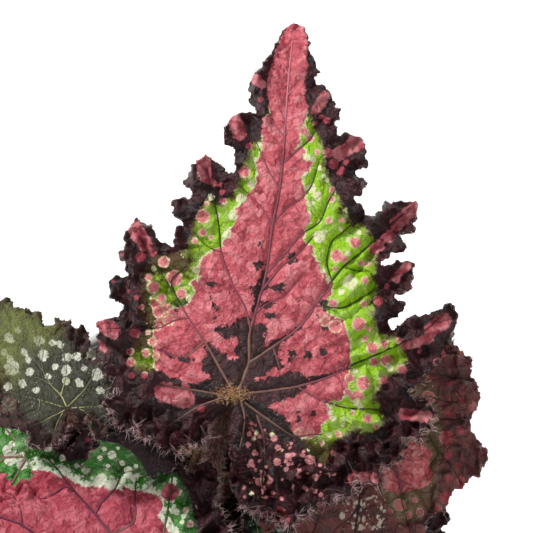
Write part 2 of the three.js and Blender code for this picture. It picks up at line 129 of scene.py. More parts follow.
# The large leaf's edge as it is seen, finer than the points its solid has, from the tip down.
SEEN_RIGHT = drawn([
    (297, 25), (301, 27), (304, 30), (306, 34), (307, 40), (306.5, 43.5), (310, 45.5), (308, 50),
    (309, 54), (312, 58), (315, 61), (315, 66), (316.5, 69), (318.5, 75), (316, 78.5), (314, 80),
    (315, 83), (314.5, 86), (317, 87.5), (320, 86.5), (324, 89), (327, 92.5), (331, 98.5),
    (332, 102), (334.5, 105.5), (332.5, 109), (336, 111), (338.5, 114), (339, 117.5),
    (337.5, 120), (338, 123), (334, 125.5), (331, 128.5), (334, 130), (336, 133.5), (336, 139.5),
    (338, 140), (342, 138.5), (346.5, 136), (350, 138), (354, 139), (360, 140.5), (362, 146),
    (363, 150), (365, 155), (364, 161), (366, 165), (367, 168), (365.5, 171.5), (361, 171),
    (356, 174), (353, 177), (357, 180), (362, 183), (366, 187), (364, 191), (360, 193.5),
    (361, 196.5), (359, 199), (353, 201), (351.5, 203.5), (356, 207), (361, 209.5), (362.5, 215),
    (363, 218), (370, 219.5), (375, 216), (380, 213.5), (381, 208), (383, 204.5), (387, 206.5),
    (389, 208), (394, 205.5), (400, 205), (405, 206.5), (416, 207.5), (415, 215), (413.5, 221),
    (410, 226), (411, 230), (411.5, 234.5), (406, 235.5), (398, 237), (396, 239), (399, 243),
    (402, 248), (403.5, 252), (400, 255), (395, 256), (388, 256), (386, 259), (382, 261),
    (378, 263), (378, 266), (381, 270), (386, 269), (391, 268), (395, 264.5), (399, 266),
    (404, 264.5), (409.5, 265), (410, 272), (410, 280), (408, 284), (408, 289), (405, 293),
    (400, 294), (397, 296), (392, 296), (391, 300), (396, 303), (402.5, 307), (400, 312),
    (396, 316), (393, 319.5), (387, 321), (385, 326), (387, 330), (391, 331.5), (394, 328),
    (400, 325.5), (401, 322), (405, 319.5), (410, 317), (417, 318.5), (425, 316), (433, 312.5),
    (440, 310.5), (443, 307), (447, 307), (450, 310), (453, 318), (451, 328), (446, 337),
    (449, 344), (440, 349), (441, 357), (431, 361), (428, 370), (418, 374), (420, 382),
    (408, 388), (405, 396), (412, 400), (421, 399), (424, 408), (431, 412), (424, 418),
    (426, 427), (416, 428), (417, 437), (405, 435), (397, 439), (403, 446), (396, 452),
    (400, 460), (390, 459), (384, 466), (379, 461), (376, 470), (380, 478), (372, 484),
    (366, 477), (360, 482), (353, 473), (348, 482), (350, 492), (342, 497), (337, 490),
    (331, 492), (326, 500), (318, 498), (314, 508), (308, 505), (303, 515), (296, 512),
    (289, 523), (284, 516), (279, 522), (274, 512), (268, 506), (262, 511), (257, 503),
    (250, 511), (247, 502), (240, 500),
])
SEEN_LEFT = drawn([
    (290, 26), (286, 28.5), (283, 31), (280, 36), (277, 42), (274, 48), (271, 54), (268, 58),
    (265, 64), (263, 66), (262, 68), (259, 71), (255, 75), (252, 78.5), (250.5, 83),
    (248.5, 87.5), (247.5, 92), (249.5, 95), (250, 98), (248.5, 101), (247.5, 104), (250.5, 107),
    (253.5, 109.5), (255, 113), (255, 116.5), (252, 117), (249, 115.5), (247.5, 115), (245, 117),
    (240, 117.5), (235, 119), (232, 120), (229.5, 123), (227, 128), (225.5, 132), (224.5, 136),
    (225.5, 139), (224, 143), (224, 147.5), (226, 149.5), (229, 150), (233, 152.5), (235, 155),
    (233.5, 157.5), (235, 165), (235.5, 172), (235, 175), (230, 178), (226, 176), (224, 174.5),
    (222, 171), (219, 168), (216, 167), (212, 163), (208, 160), (206, 159), (202, 161),
    (198, 165), (195, 167.5), (191.5, 169), (190.5, 174), (188.5, 177), (187, 181.5),
    (183, 185), (182.3, 187), (185, 190), (187, 192), (190, 191), (191.5, 195), (191.5, 200),
    (189, 203.5), (186, 202), (182.5, 201), (180, 202.5), (172.5, 203.5), (172, 208), (174, 213),
    (174.5, 218), (176, 220.5), (180, 222), (184, 226.5), (185.5, 228.5), (182, 230),
    (178, 230.5), (177, 236), (176.5, 240), (174.5, 243), (175, 250), (171, 250), (168, 248),
    (165, 246.5), (160, 245), (158, 243), (157, 238.5), (155, 236), (153, 231), (151, 227.5),
    (147.5, 229), (144, 226), (140, 225), (135.5, 222.5), (133, 227), (130, 233), (127.5, 237),
    (126, 242.5), (128, 246.5), (126.5, 251.5), (121.5, 255), (120, 260), (123, 264), (127, 264),
    (128, 267), (126.5, 272), (129, 277), (129.5, 279.5), (125, 280), (120, 279), (115, 281),
    (111, 284), (111.5, 290), (113, 296), (114, 300), (117, 302), (121, 302.5), (123, 306),
    (126, 308), (123, 312.5), (121.5, 317), (119, 320), (113, 320.5), (106, 322), (100, 323.5),
    (99, 328), (102, 334), (98, 340), (102, 346), (100, 351), (107, 354), (105, 361), (111, 366),
    (109, 374), (117, 379), (115, 386), (124, 390), (118, 396), (110, 399), (108, 407),
    (116, 409), (112, 417), (120, 419), (119, 427), (128, 424), (133, 430), (139, 424),
    (143, 431), (149, 436), (154, 431), (156, 440), (163, 443), (166, 451), (172, 447),
    (178, 451), (183, 444), (189, 447), (192, 440), (199, 442), (206, 434), (208, 424),
])
# The dark along the ribs by the stalk.
CHARCOAL = [drawn(points) for points in (
    [(248, 318), (241, 319), (235, 324), (230, 330), (221, 327), (218, 333), (226, 338), (237, 335),
     (241, 343), (238, 351), (240, 359), (235, 365), (227, 364), (221, 357), (215, 351), (208, 347),
     (212, 357), (206, 361), (207, 369), (213, 375), (213, 382), (206, 385), (196, 388), (180, 386),
     (160, 378), (146, 372), (134, 380), (126, 394), (130, 410), (160, 440), (200, 446), (240, 500),
     (270, 500), (300, 480), (322, 472), (330, 458), (318, 450), (298, 440), (290, 432), (286, 422),
     (280, 415), (270, 412), (262, 405), (268, 400), (280, 397), (294, 394), (301, 391), (306, 385),
     (320, 379), (334, 374), (318, 375), (304, 380), (300, 374), (291, 373), (281, 378), (270, 381),
     (257, 384), (250, 382), (249, 375), (262, 373), (268, 365), (278, 361), (275, 351), (286, 340),
     (299, 329), (284, 337), (270, 346), (259, 350), (262, 344), (264, 333), (263, 324), (254, 325)],
    [(250, 290), (259, 289), (262, 296), (259, 302), (252, 297)],
    [(262, 304), (272, 305), (270, 311), (262, 309)], [(257, 315), (276, 317), (268, 320)],
    [(253, 302), (257, 288), (262, 276), (266, 270), (264, 290), (258, 306), (252, 318)],
    [(253, 266), (259, 263), (262, 268), (257, 273)], [(260, 284), (267, 282), (268, 290), (262, 292)],
    [(272, 290), (280, 285), (284, 288), (278, 296)], [(287, 259), (292, 255), (296, 261), (290, 266)],
    [(288, 352), (294, 355), (289, 361)], [(304, 352), (311, 354), (308, 360), (304, 357)],
    [(318, 352), (325, 352), (324, 358), (319, 357)], [(275, 352), (279, 368), (276, 362)],
    [(209, 287), (215, 284), (218, 288), (212, 291)], [(210, 319), (216, 319), (213, 322)],
    [(229, 296), (232, 295), (231, 300)], [(211, 301), (216, 306), (221, 318), (214, 310)],
    [(257, 248), (260, 247), (260, 251)], [(164, 298), (184, 298), (188, 305), (178, 311)],
    [(162, 352), (178, 358), (192, 359), (188, 361), (172, 359)],
    [(316, 318), (322, 330), (333, 337), (328, 330), (320, 322)], [(296, 410), (300, 418), (297, 420)],
    [(309, 408), (313, 414), (310, 415)], [(318, 302), (336, 306), (338, 312), (322, 312)],
)]

HEART = drawn([
    (290, 20), (299, 22), (306, 33), (308, 44), (306, 56), (308, 70), (304, 80), (306, 90),
    (304, 99), (307, 110), (304, 127), (298, 136), (300, 146), (293, 153), (303, 150),
    (304, 158), (312, 167), (306, 175), (300, 182), (303, 192), (304, 201), (306, 216),
    (309, 224), (305, 232), (302, 245), (312, 250), (310, 256), (318, 268), (326, 280),
    (331, 287), (328, 298), (319, 310), (326, 316), (340, 322), (344, 334), (348, 345),
    (347, 372), (345, 390), (338, 400), (323, 402), (330, 414), (320, 424), (317, 434),
    (300, 437), (289, 430), (284, 419), (272, 412), (262, 404), (250, 400), (238, 398),
    (226, 394), (214, 388), (210, 380), (196, 384), (182, 380), (172, 378), (164, 372),
    (154, 368), (158, 360), (153, 341), (160, 318), (152, 306), (154, 298), (166, 312),
    (178, 310), (190, 306), (196, 294), (192, 286), (200, 278), (198, 268), (206, 258),
    (222, 250), (226, 238), (236, 226), (232, 217), (240, 208), (246, 198), (254, 192),
    (258, 178), (256, 165), (262, 152), (260, 134), (262, 122), (270, 116), (267, 106),
    (266, 93), (267, 80), (271, 66), (275, 52), (280, 38),
])
BAND = drawn([
    (303, 110), (311, 119), (313, 130), (320, 141), (324, 155), (326, 170), (329, 186),
    (337, 198), (343, 212), (350, 224), (362, 229), (371, 236), (375, 250), (374, 264),
    (373, 280), (376, 295), (371, 306), (372, 322), (378, 334), (394, 338), (403, 345),
    (404, 358), (400, 372), (388, 376), (378, 384), (372, 395), (378, 408), (382, 420),
    (374, 430), (362, 434), (350, 430), (340, 436), (330, 444), (333, 455), (322, 462),
    (308, 452), (300, 440), (284, 424), (262, 404), (238, 396), (216, 384), (196, 380), (180, 374),
    (164, 370), (148, 374), (134, 370), (128, 358), (136, 345), (147, 330), (142, 306),
    (144, 277), (154, 258), (170, 258), (185, 252), (190, 240), (192, 226), (206, 202),
    (220, 206), (231, 200), (240, 180), (243, 165), (253, 147), (261, 138), (264, 120),
    (272, 100), (285, 60), (300, 60),
])
# Where the green band is browner, on the shaded side.
SHADED = [drawn(points) for points in (
    [(120, 246), (152, 244), (178, 254), (196, 262), (184, 280), (150, 280), (150, 300),
     (168, 314), (166, 330), (160, 352), (136, 350), (132, 366), (156, 374), (190, 386),
     (214, 388), (222, 402), (120, 420)],
    [(296, 438), (318, 438), (332, 444), (344, 440), (344, 470), (300, 470)],
)]
# Pink blotches on the lobes: from, to and radius.
BLOTCHES = drawn([
    (254, 81, 261, 88, 3.6), (234, 122, 239, 138, 6), (203, 162, 205, 180, 6),
    (207, 182, 213, 187, 2.6), (135, 231, 146, 247, 7), (147, 248, 153, 256, 3),
    (104, 325, 116, 333, 6.5), (100, 345, 106, 352, 2.5), (316, 113, 325, 97, 4.2),
    (337, 158, 358, 146, 6), (345, 152, 355, 140, 4), (394, 228, 412, 212, 6),
    (384, 241, 387, 239, 4.5), (372, 252, 377, 249, 4.5), (393, 281, 404, 269, 3.4),
    (428, 331, 441, 322, 6.5), (402, 347, 424, 340, 4), (400, 414, 424, 417, 4.6),
    (352, 476, 370, 478, 5.5), (280, 508, 284, 517, 3.6), (186, 388, 190, 400, 5),
    (166, 392, 186, 398, 9),
])
# Round spots: x, y and radius.
SPOTS = drawn([
    (260, 103, 3), (249, 150, 3.6), (222, 196, 2.8), (219, 188, 2.6), (142, 260, 5),
    (124, 258, 2.4), (130, 294, 2), (115, 284, 2.4), (137, 334, 5.2), (320, 120, 2.6),
    (326, 124, 3.5), (312, 116, 2), (314, 127, 2.2), (327, 157, 5), (332, 168, 5.4),
    (340, 175, 4.6), (345, 166, 3), (384, 289, 3), (375, 303, 5), (433, 363, 5),
    (441, 355, 4), (416, 353, 2.4), (425, 380, 3), (244, 176, 6), (303, 135, 5), (309, 142, 4.4),
    (316, 156, 3), (331, 194, 3.6), (330, 203, 3.6), (327, 224, 3.6), (340, 224, 3.2),
    (353, 246, 6), (335, 259, 6.6), (342, 262, 4), (362, 283, 4), (359, 266, 3.2),
    (361, 306, 3.8), (365, 267, 3), (333, 272, 2.6), (175, 281, 8.4), (155, 290, 6.4),
    (163, 301, 5), (182, 296, 5.6), (165, 265, 6), (203, 220, 7), (203, 236, 4.4),
    (211, 241, 3), (223, 205, 3.6), (207, 207, 2.6), (195, 244, 3.2), (150, 280, 4),
    (138, 300, 2.6), (143, 309, 3), (154, 343, 4.6), (150, 334, 3), (132, 353, 4),
    (148, 354, 4.6), (133, 363, 4.6), (134, 376, 3.6), (147, 376, 3.6), (383, 362, 6.4),
    (371, 363, 4.6), (398, 370, 5), (347, 378, 5), (360, 383, 7), (380, 380, 4.6),
    (354, 397, 7), (345, 392, 4), (369, 349, 6), (381, 345, 4.6), (362, 340, 3.6),
    (399, 344, 4), (356, 326, 7), (366, 331, 2.6), (395, 342, 3.6), (350, 412, 3),
    (364, 418, 4.6), (373, 426, 3.4), (336, 433, 3.4), (323, 323, 5.6), (333, 328, 7),
    (331, 306, 5), (308, 434, 4), (296, 431, 4), (168, 310, 5), (160, 314, 6), (170, 322, 6),
    (159, 329, 4), (158, 357, 4),
    (251, 422, 2.4), (249, 433, 2.7), (253, 437, 2.4), (248, 443, 2.4), (254, 452, 3.2),
    (251, 461, 3.2), (262, 472, 3.2), (273, 437, 3.7), (277, 446, 3.2), (276, 460, 3.7),
    (287, 455, 3.7), (285, 468, 2.4), (258, 481, 3.7), (263, 488, 3.2), (272, 491, 2.4),
    (308, 458, 5.1), (301, 453, 2.4), (314, 475, 3.8), (318, 463, 2.1), (290, 442, 1.8),
    (291, 462, 1.8), (298, 469, 2.4), (331, 452, 3.2), (327, 472, 1.6), (320, 442, 2.4),
    (265, 465, 1.8), (268, 480, 1.6), (281, 478, 1.6), (244, 485, 1.9), (202, 408, 4),
])
# Small ones strewn over the right base lobe: x, y and radius.
SPECKS = [(x, y, 0.7 + 1.8 * r ** 2) for x, y, r in
          np.random.default_rng(12).uniform((6, -104, 0), (96, -26, 1), (160, 3)).tolist()
          if y < -22 - 0.5 * x]
# Cream blobs with no pink in them.
CREAMS = drawn([
    (305, 162, 4.6), (312, 163, 3), (310, 192, 5), (316, 200, 4.4), (311, 207, 3),
    (317, 240, 6), (323, 236, 3), (318, 281, 4.6), (325, 285, 4.4), (321, 273, 3),
    (348, 285, 7), (339, 294, 3), (346, 257, 2.6), (241, 202, 5.4), (233, 219, 5.2),
    (227, 238, 5), (197, 273, 4.2), (201, 283, 4), (258, 149, 3), (255, 163, 2.6),
    (251, 188, 4), (218, 219, 2.6), (211, 201, 3.4), (155, 271, 3), (190, 300, 3),
    (313, 318, 2), (354, 402, 4), (386, 368, 4), (331, 418, 3), (342, 418, 2.4),
    (262, 478, 2.2), (253, 437, 1.6), (328, 412, 3), (358, 408, 3), (340, 425, 2.4),
    (326, 434, 3), (352, 372, 3), (338, 336, 2.6), (344, 214, 2.2), (325, 210, 2.4),
    (339, 232, 2.4), (346, 243, 2.4), (357, 236, 2.2), (318, 226, 2.6), (326, 185, 2.4),
    (318, 172, 3), (322, 180, 2.2),
])
# Ribs: how thick each is where it starts, in millimetres, and its points.
RIBS = [(width, drawn(points)) for width, points in [
    (1.6, [(238, 392), (248, 364), (249, 336), (254, 317), (265, 278), (272, 228), (279, 192),
           (283, 153), (285, 120), (288, 80), (292, 40)]),
    (1.3, [(248, 364), (272, 348), (301, 326), (328, 286), (341, 270), (360, 255), (384, 232),
           (408, 212)]),
    (0.7, [(272, 348), (276, 360), (279, 370)]),
    (0.8, [(318, 301), (330, 288), (325, 266), (330, 245), (342, 235), (356, 222)]),
    (0.8, [(313, 308), (341, 310), (355, 303), (371, 293), (392, 276)]),
    (0.5, [(344, 271), (356, 274), (368, 274)]),
    (1.3, [(240, 394), (266, 391), (294, 387), (328, 377), (343, 369), (379, 353), (399, 344),
           (424, 330), (445, 310)]),
    (0.8, [(296, 387), (318, 400), (345, 408), (372, 410), (400, 420)]),
    (1.4, [(244, 402), (262, 415), (299, 441), (323, 459), (350, 474)]),
    (0.9, [(256, 414), (262, 432), (264, 457), (262, 485), (275, 508)]),
    (0.7, [(284, 431), (297, 436), (306, 434), (320, 434)]),
    (1.4, [(231, 388), (222, 372), (207, 346), (187, 316), (178, 300), (165, 280), (150, 258),
           (138, 236)]),
    (0.8, [(205, 343), (185, 358), (160, 351), (142, 346)]),
    (0.7, [(190, 320), (176, 322), (160, 330), (140, 330), (112, 330)]),
    (0.7, [(178, 300), (172, 284), (186, 270), (190, 262)]),
    (1.1, [(250, 330), (245, 310), (234, 290), (221, 255), (219, 230), (214, 205), (206, 172)]),
    (0.6, [(221, 256), (208, 250), (196, 238), (192, 228)]),
    (1.1, [(228, 396), (200, 391), (174, 387), (145, 382), (118, 376)]),
    (0.9, [(222, 398), (200, 406), (182, 417), (160, 430)]),
    (0.8, [(266, 276), (285, 256), (300, 238), (318, 226), (327, 205), (336, 190), (352, 160)]),
    (0.7, [(273, 226), (285, 212), (300, 203), (310, 190), (318, 165)]),
    (0.7, [(279, 192), (268, 175), (262, 160), (252, 140), (240, 130)]),
    (0.7, [(284, 166), (296, 155), (310, 142), (320, 122)]),
    (0.7, [(283, 140), (272, 126), (266, 112), (256, 96)]),
    (0.6, [(287, 98), (298, 86), (309, 73), (318, 66)]),
    (0.6, [(289, 78), (281, 66), (277, 56)]),
    (0.6, [(272, 230), (262, 212), (250, 200), (236, 186)]),
    (0.8, [(262, 292), (280, 270), (296, 258), (312, 240)]),
    (0.7, [(254, 316), (268, 305), (282, 300), (300, 280)]),
]]
# One pale vein runs back from the stalk, beside the open base.
BASAL_RIBS = [(1.2, drawn([(240, 400), (244, 414), (243, 430), (240, 446)]))]

# ---------------- the leaves

# What a leaf has where it says nothing else.
PLAIN_LEAF = dict(roll=0, fall=-0.14, arch=-0.0014, cup=-0.0006, base=-0.0005)
# As in the solids. look names a leaf's colours, gap is the distance between its points, shorter
# holds the lobes that end sooner than its solid's, and fuzz is how hairy its stalk is.
LEAVES = [dict(PLAIN_LEAF, **leaf) for leaf in [
    dict(name="leaf_large_back", at=(22.5, 26.8, 190), heading=90, pitch=20, length=131,
         fall=-0.1, arch=-0.0011, base=-0.0022, wave=3.2, seed=1, detail=True, stalk_from=-12,
         look="flame", gap=0.54, fuzz=5),
    dict(name="leaf_back_left", at=(-38, 27, 172), heading=133, pitch=4, roll=16, length=60,
         lobes=0.7, fall=-0.12, arch=-0.002, cup=-0.001, base=-0.002, wave=2, seed=2,
         stalk_via=(-24, 31), look="moss",
         shorter={25: 0.98, 29: 0.98, 30: 0.96, 31: 0.9, 32: 0.85, 33: 0.92}),
    dict(name="leaf_left", at=(-8, -34, 165), heading=162, pitch=8, roll=3, length=132,
         fall=-0.12, arch=-0.0012, base=-0.001, wave=3, seed=3, mirror=True, look="meadow",
         gap=0.62),
    dict(name="leaf_right", at=(73, 42, 165), heading=271, pitch=4, roll=5, length=106,
         lobes=0.4, fall=-0.1, cup=-0.0008, base=-0.001, wave=2.6, seed=4, look="dusk", gap=0.66,
         shorter={86: 0.96, 87: 0.93, 88: 0.9, 89: 0.9, 90: 0.9, 91: 0.92, 92: 0.95}),
    dict(name="leaf_front_right", at=(50, -60, 141), heading=300, pitch=2, roll=-4, length=112,
         wave=2.8, seed=5, mirror=True, look="flame"),
    dict(name="leaf_inner_right", at=(30, -20, 150), heading=344, pitch=5, length=62,
         fall=-0.12, wave=2.4, seed=15, look="frost"),
    dict(name="leaf_front", at=(2, -82, 153), heading=262, pitch=-4, length=100, wave=2.6,
         seed=6, look="meadow"),
    dict(name="leaf_mid_back", at=(24, 49, 150), heading=82, pitch=0, length=80, fall=-0.12,
         wave=2.4, seed=16, mirror=True, look="dusk"),
    dict(name="leaf_low_front_left", at=(-40, -66, 142), heading=238, pitch=-8, length=92,
         cup=-0.0004, base=-0.001, wave=2.2, seed=7, look="flame"),
    dict(name="leaf_low_left", at=(-70, -4, 132), heading=178, pitch=-10, length=94,
         cup=-0.0004, base=0.0002, wave=2.2, seed=8, mirror=True, look="dusk"),
    dict(name="leaf_low_back_left", at=(-54, 16, 147), heading=160, pitch=-6, length=90,
         cup=-0.0004, base=-0.001, wave=2.2, seed=9, mirror=True, look="meadow"),
    dict(name="leaf_low_back", at=(16, 54, 133), heading=78, pitch=-6, length=68, cup=-0.0004,
         base=0, wave=2.2, seed=10, mirror=True, look="meadow"),
    dict(name="leaf_low_back_right", at=(56, 42, 133), heading=44, pitch=-4, length=56,
         cup=-0.0004, base=0, wave=1.8, seed=11, look="moss"),
    dict(name="leaf_low_right", at=(63, -27, 131), heading=327, pitch=-9, length=78,
         cup=-0.0004, base=-0.001, wave=2, seed=12, mirror=True, look="meadow"),
    dict(name="leaf_young_centre", at=(-3, 13.5, 176), heading=205, pitch=4, length=30,
         fall=-0.1, arch=-0.002, cup=0.003, base=0.001, wave=1.8, seed=13, stalk_via=(-2, 19),
         look="night"),
    dict(name="leaf_young_front", at=(-14, -4, 136), heading=200, pitch=30, length=20,
         fall=-0.1, arch=-0.002, cup=0.012, base=0.001, wave=1.2, seed=14, mirror=True,
         look="moss"),
]]
BLADE_GAP = 0.8  # between a blade's points, where a leaf says nothing finer
LOW_SEEDS = range(7, 17)  # leaves whose solids have fewer rows

# How each look is drawn where it isn't traced. heart and band: how far out, from 0 at the midrib
# to 1 at the edge, the pink middle and the green band reach. ring: how wide the cream line
# between them is. charcoal: how much dark there is along the ribs. spots: how many round spots,
# spot_sizes: their radii, spot_band: where they lie, from middle to edge. rings: how wide a cream
# rim they have. creams: the share of them that is all cream. flush: the colour where light comes
# through. coarse: how many times coarser than the others' its rough edges are.
LOOKS = {
    "flame": dict(heart=0.58, band=0.8, ring=1.6, charcoal=1.0, spots=110, spot_sizes=(2.2, 7),
                  spot_band=(0.55, 0.84), rings=1.7, creams=0.25),
    "meadow": dict(heart=0.62, band=0.86, ring=9, charcoal=0.0, spots=260, spot_sizes=(1.6, 7),
                   spot_band=(0.64, 0.88), rings=2.6, creams=0.62),
    "dusk": dict(heart=0.3, band=0.66, ring=0.0, charcoal=0.25, spots=46, spot_sizes=(4, 9),
                 spot_band=(0.45, 0.86), rings=0.5, creams=0.0),
    "night": dict(heart=0.0, band=-0.1, ring=0.0, charcoal=0.0, spots=26, spot_sizes=(4, 10),
                  spot_band=(0.4, 0.9), rings=1.0, creams=0.1),
    "moss": dict(flush=(0.25, 0.28, 0.07), coarse=2, heart=0.0, band=0.74, ring=0.0, charcoal=0.0,
                 spots=90, spot_sizes=(3, 10), spot_band=(0.5, 0.88), rings=2.0, creams=0.9),
    "frost": dict(heart=0.36, band=0.9, ring=5.0, charcoal=0.0, spots=260, spot_sizes=(2, 7),
                  spot_band=(0.3, 0.92), rings=1.5, creams=0.9),
}

# Small pale specks at the base of the right-hand leaf, in pixels of the photograph.
SPECKLES = [(x, y, 0.6 + 1.3 * r) for x, y, r in
            np.random.default_rng(8).uniform((340, 494, 0), (386, 540, 1), (130, 3)).tolist()]
# What shows of other leaves, in the photograph's own pixels. also: strewn cream spots stay too.
SEEN = {
    "leaf_left": dict(
        heart=[(-40, 446), (0, 450), (14, 462), (28, 469), (46, 471), (64, 475), (74, 482),
               (86, 487), (104, 485), (127, 488), (144, 492), (160, 496), (163, 506), (158, 516),
               (164, 526), (170, 534), (176, 548), (150, 620), (-40, 620)],
        also=True,
        band=[(-40, 412), (0, 420), (20, 424), (36, 428), (48, 436), (54, 450), (66, 460),
              (84, 460), (94, 450), (102, 444), (120, 448), (134, 462), (150, 468), (170, 470),
              (184, 480), (190, 500), (196, 520), (200, 545), (180, 640), (-40, 640)],
        creams=[(32, 442, 7), (8, 432, 3), (16, 428, 2), (12, 444, 3.4), (48, 448, 4),
                (44, 436, 2.4), (62, 458, 3.6), (72, 448, 3), (58, 440, 2.4), (86, 470, 4),
                (98, 462, 3.4), (112, 478, 3), (104, 450, 2.6), (122, 466, 3.2), (134, 478, 4),
                (150, 484, 2.6), (22, 454, 3), (76, 466, 2.4), (92, 478, 2.4), (116, 458, 2.2),
                (0, 438, 2.6), (36, 458, 2.4), (52, 462, 2.2), (172, 500, 3), (176, 512, 3.4),
                (182, 522, 2.6)],
        spots=[(133, 464, 4), (146, 474, 3.4), (178, 492, 4), (186, 510, 3.4), (190, 524, 4),
               (110, 442, 3), (88, 440, 2.6)],
        blotch=[(94, 456, 6), (170, 492, 9), (14, 420, 3)]),
    "leaf_back_left": dict(
        creams=[(9, 338, 5), (39, 341, 5), (12, 368, 7.5), (10, 360, 4), (43, 355, 5.4),
                (67, 357, 4.6), (77, 357, 4), (91, 354, 5), (97, 375, 6), (66, 370, 5),
                (79, 383, 4), (24, 352, 3.4), (30, 372, 4), (3, 352, 3.4), (55, 366, 3.4),
                (84, 368, 3.4), (52, 343, 3), (28, 360, 3.4), (48, 376, 3), (22, 384, 4),
                (8, 386, 4), (36, 390, 3.4), (60, 345, 3), (18, 330, 3), (100, 390, 4)],
        flush=[(36, 331, 16), (12, 325, 18), (4, 352, 16), (10, 372, 8)],
        blotch=[(91, 422, 8), (93, 433, 5), (8, 405, 9)], spots=[(71, 436, 4), (66, 381, 4)]),
    "leaf_right": dict(
        heart=[(378, 462), (388, 452), (398, 444), (410, 441), (422, 444), (432, 452),
               (430, 466), (434, 478), (424, 488), (410, 490), (398, 494), (386, 490),
               (380, 478)],
        spots=[(428, 398, 7), (449, 383, 3.6), (449, 414, 3.6), (446, 437, 7), (460, 431, 4),
               (448, 456, 4), (448, 478, 4), (447, 498, 7), (436, 420, 3), (462, 400, 3),
               (458, 465, 3), (438, 508, 3.4), (430, 378, 3), (462, 480, 3), (420, 512, 4),
               (436, 330, 6), (424, 345, 3), (440, 352, 3), (418, 410, 3), (408, 425, 3),
               (418, 432, 2.4), (400, 505, 6), (408, 515, 4), (390, 512, 3), (415, 500, 3)],
        band=[(395, 340), (415, 350), (428, 370), (440, 400), (444, 430), (440, 470), (436, 500),
              (420, 520), (400, 525), (385, 505), (375, 470), (385, 440), (400, 420), (410, 400),
              (400, 370)],
        creams=SPECKLES),
    "leaf_young_centre": dict(
        band=[(80, 432), (98, 440), (118, 443), (130, 450), (142, 462), (150, 480), (120, 496),
              (80, 480)],
        creams=[(112, 455, 4.5), (104, 449, 2.6), (122, 463, 3), (118, 448, 2), (100, 458, 3),
                (128, 470, 4), (108, 466, 2.4), (94, 448, 2.4), (136, 466, 2.4)]),
    "leaf_low_back_left": dict(
        heart=[(-90, 470), (-60, 470), (-60, 480), (-90, 480)],
        band=[(-90, 400), (0, 424), (20, 424), (36, 430), (60, 440), (60, 520), (-90, 540)],
        creams=[(32, 442, 7), (8, 432, 3), (16, 428, 2), (12, 444, 3.4), (14, 454, 4),
                (24, 452, 5), (6, 450, 5), (10, 460, 6), (22, 464, 6), (44, 450, 3)]),
}


def colour(red, green, blue):
    """A display colour, 0 to 255, as linear light."""
    parts = (value / 255 for value in (red, green, blue))
    return tuple(p / 12.92 if p <= 0.04045 else ((p + 0.055) / 1.055) ** 2.4 for p in parts)


def palette(**tones):
    """Display colours as linear light, under the same names."""
    return {name: colour(*values) for name, values in tones.items()}


PALETTES = {
    "flame": palette(heart=(214, 100, 111), pale=(238, 160, 162), deep=(156, 60, 69),
                     cream=(222, 224, 176), band=(150, 200, 26), outer=(74, 47, 28),
                     margin=(62, 28, 32), charcoal=(38, 33, 33), blotch=(164, 72, 86),
                     spot=(216, 120, 124), under=(112, 46, 54)),
    "meadow": palette(heart=(184, 74, 88), pale=(214, 126, 136), deep=(146, 48, 64),
                      cream=(222, 226, 202), band=(60, 144, 36), outer=(20, 60, 16),
                      margin=(60, 26, 34), charcoal=(44, 30, 34), blotch=(156, 58, 76),
                      spot=(186, 92, 104), under=(108, 44, 54)),
    "dusk": palette(heart=(222, 114, 118), pale=(240, 172, 168), deep=(148, 56, 60),
                    cream=(214, 200, 180), band=(112, 92, 62), outer=(110, 80, 66),
                    margin=(124, 72, 70), charcoal=(84, 62, 60), blotch=(160, 70, 80),
                    spot=(186, 106, 108), under=(104, 42, 50)),
    "night": palette(heart=(60, 96, 40), pale=(120, 84, 84), deep=(70, 30, 36),
                     cream=(214, 214, 190), band=(42, 104, 30), outer=(24, 46, 18),
                     margin=(46, 24, 28), charcoal=(34, 31, 32), blotch=(120, 50, 60),
                     spot=(130, 66, 72), under=(100, 42, 50)),
    "moss": palette(heart=(80, 78, 68), pale=(140, 142, 122), deep=(56, 52, 46),
                    cream=(236, 238, 218), band=(72, 72, 58), outer=(58, 46, 42),
                    margin=(84, 58, 54), charcoal=(54, 44, 42), blotch=(120, 56, 58),
                    spot=(190, 196, 160), under=(98, 48, 50)),
    "frost": palette(heart=(190, 154, 152), pale=(216, 198, 194), deep=(140, 98, 102),
                     cream=(206, 212, 196), band=(40, 80, 46), outer=(24, 48, 30),
                     margin=(36, 26, 28), charcoal=(36, 40, 36), blotch=(140, 88, 92),
                     spot=(200, 194, 184), under=(104, 48, 54)),
}
FLAME = PALETTES["flame"]

# ---------------- settings


def tone(name, description, default):
    return FloatVectorProperty(name=name, description=description, default=default, size=3,
                               subtype="COLOR", min=0, max=1)


def millimetres(name, description, default, low, high):
    return FloatProperty(name=name, description=description, default=default * MM, min=low * MM,
                         max=high * MM, unit="LENGTH")


class LeafColours(bpy.types.PropertyGroup):
    """The colours of one look of leaf."""

    heart: tone("Heart", "The middle of the blade", FLAME["heart"])
    # pale also paints the highlight on the puffs' tops, as well as the lighter cells
    pale: tone("Pale cells", "The lighter cells in the middle", FLAME["pale"])
    deep: tone("Deep cells", "The darker cells in the middle", FLAME["deep"])
    cream: tone("Cream", "The line round the middle and round the spots", FLAME["cream"])
    band: tone("Band", "The green band, at its brightest", FLAME["band"])
    outer: tone("Outer band", "The green band where it darkens", FLAME["outer"])
    margin: tone("Margin", "The waved edge", FLAME["margin"])
    charcoal: tone("Charcoal", "The dark along the ribs", FLAME["charcoal"])
    blotch: tone("Blotch", "The blotches on the lobes", FLAME["blotch"])
    spot: tone("Spot", "The round spots", FLAME["spot"])
    under: tone("Underside", "The underside of the blade", FLAME["under"])


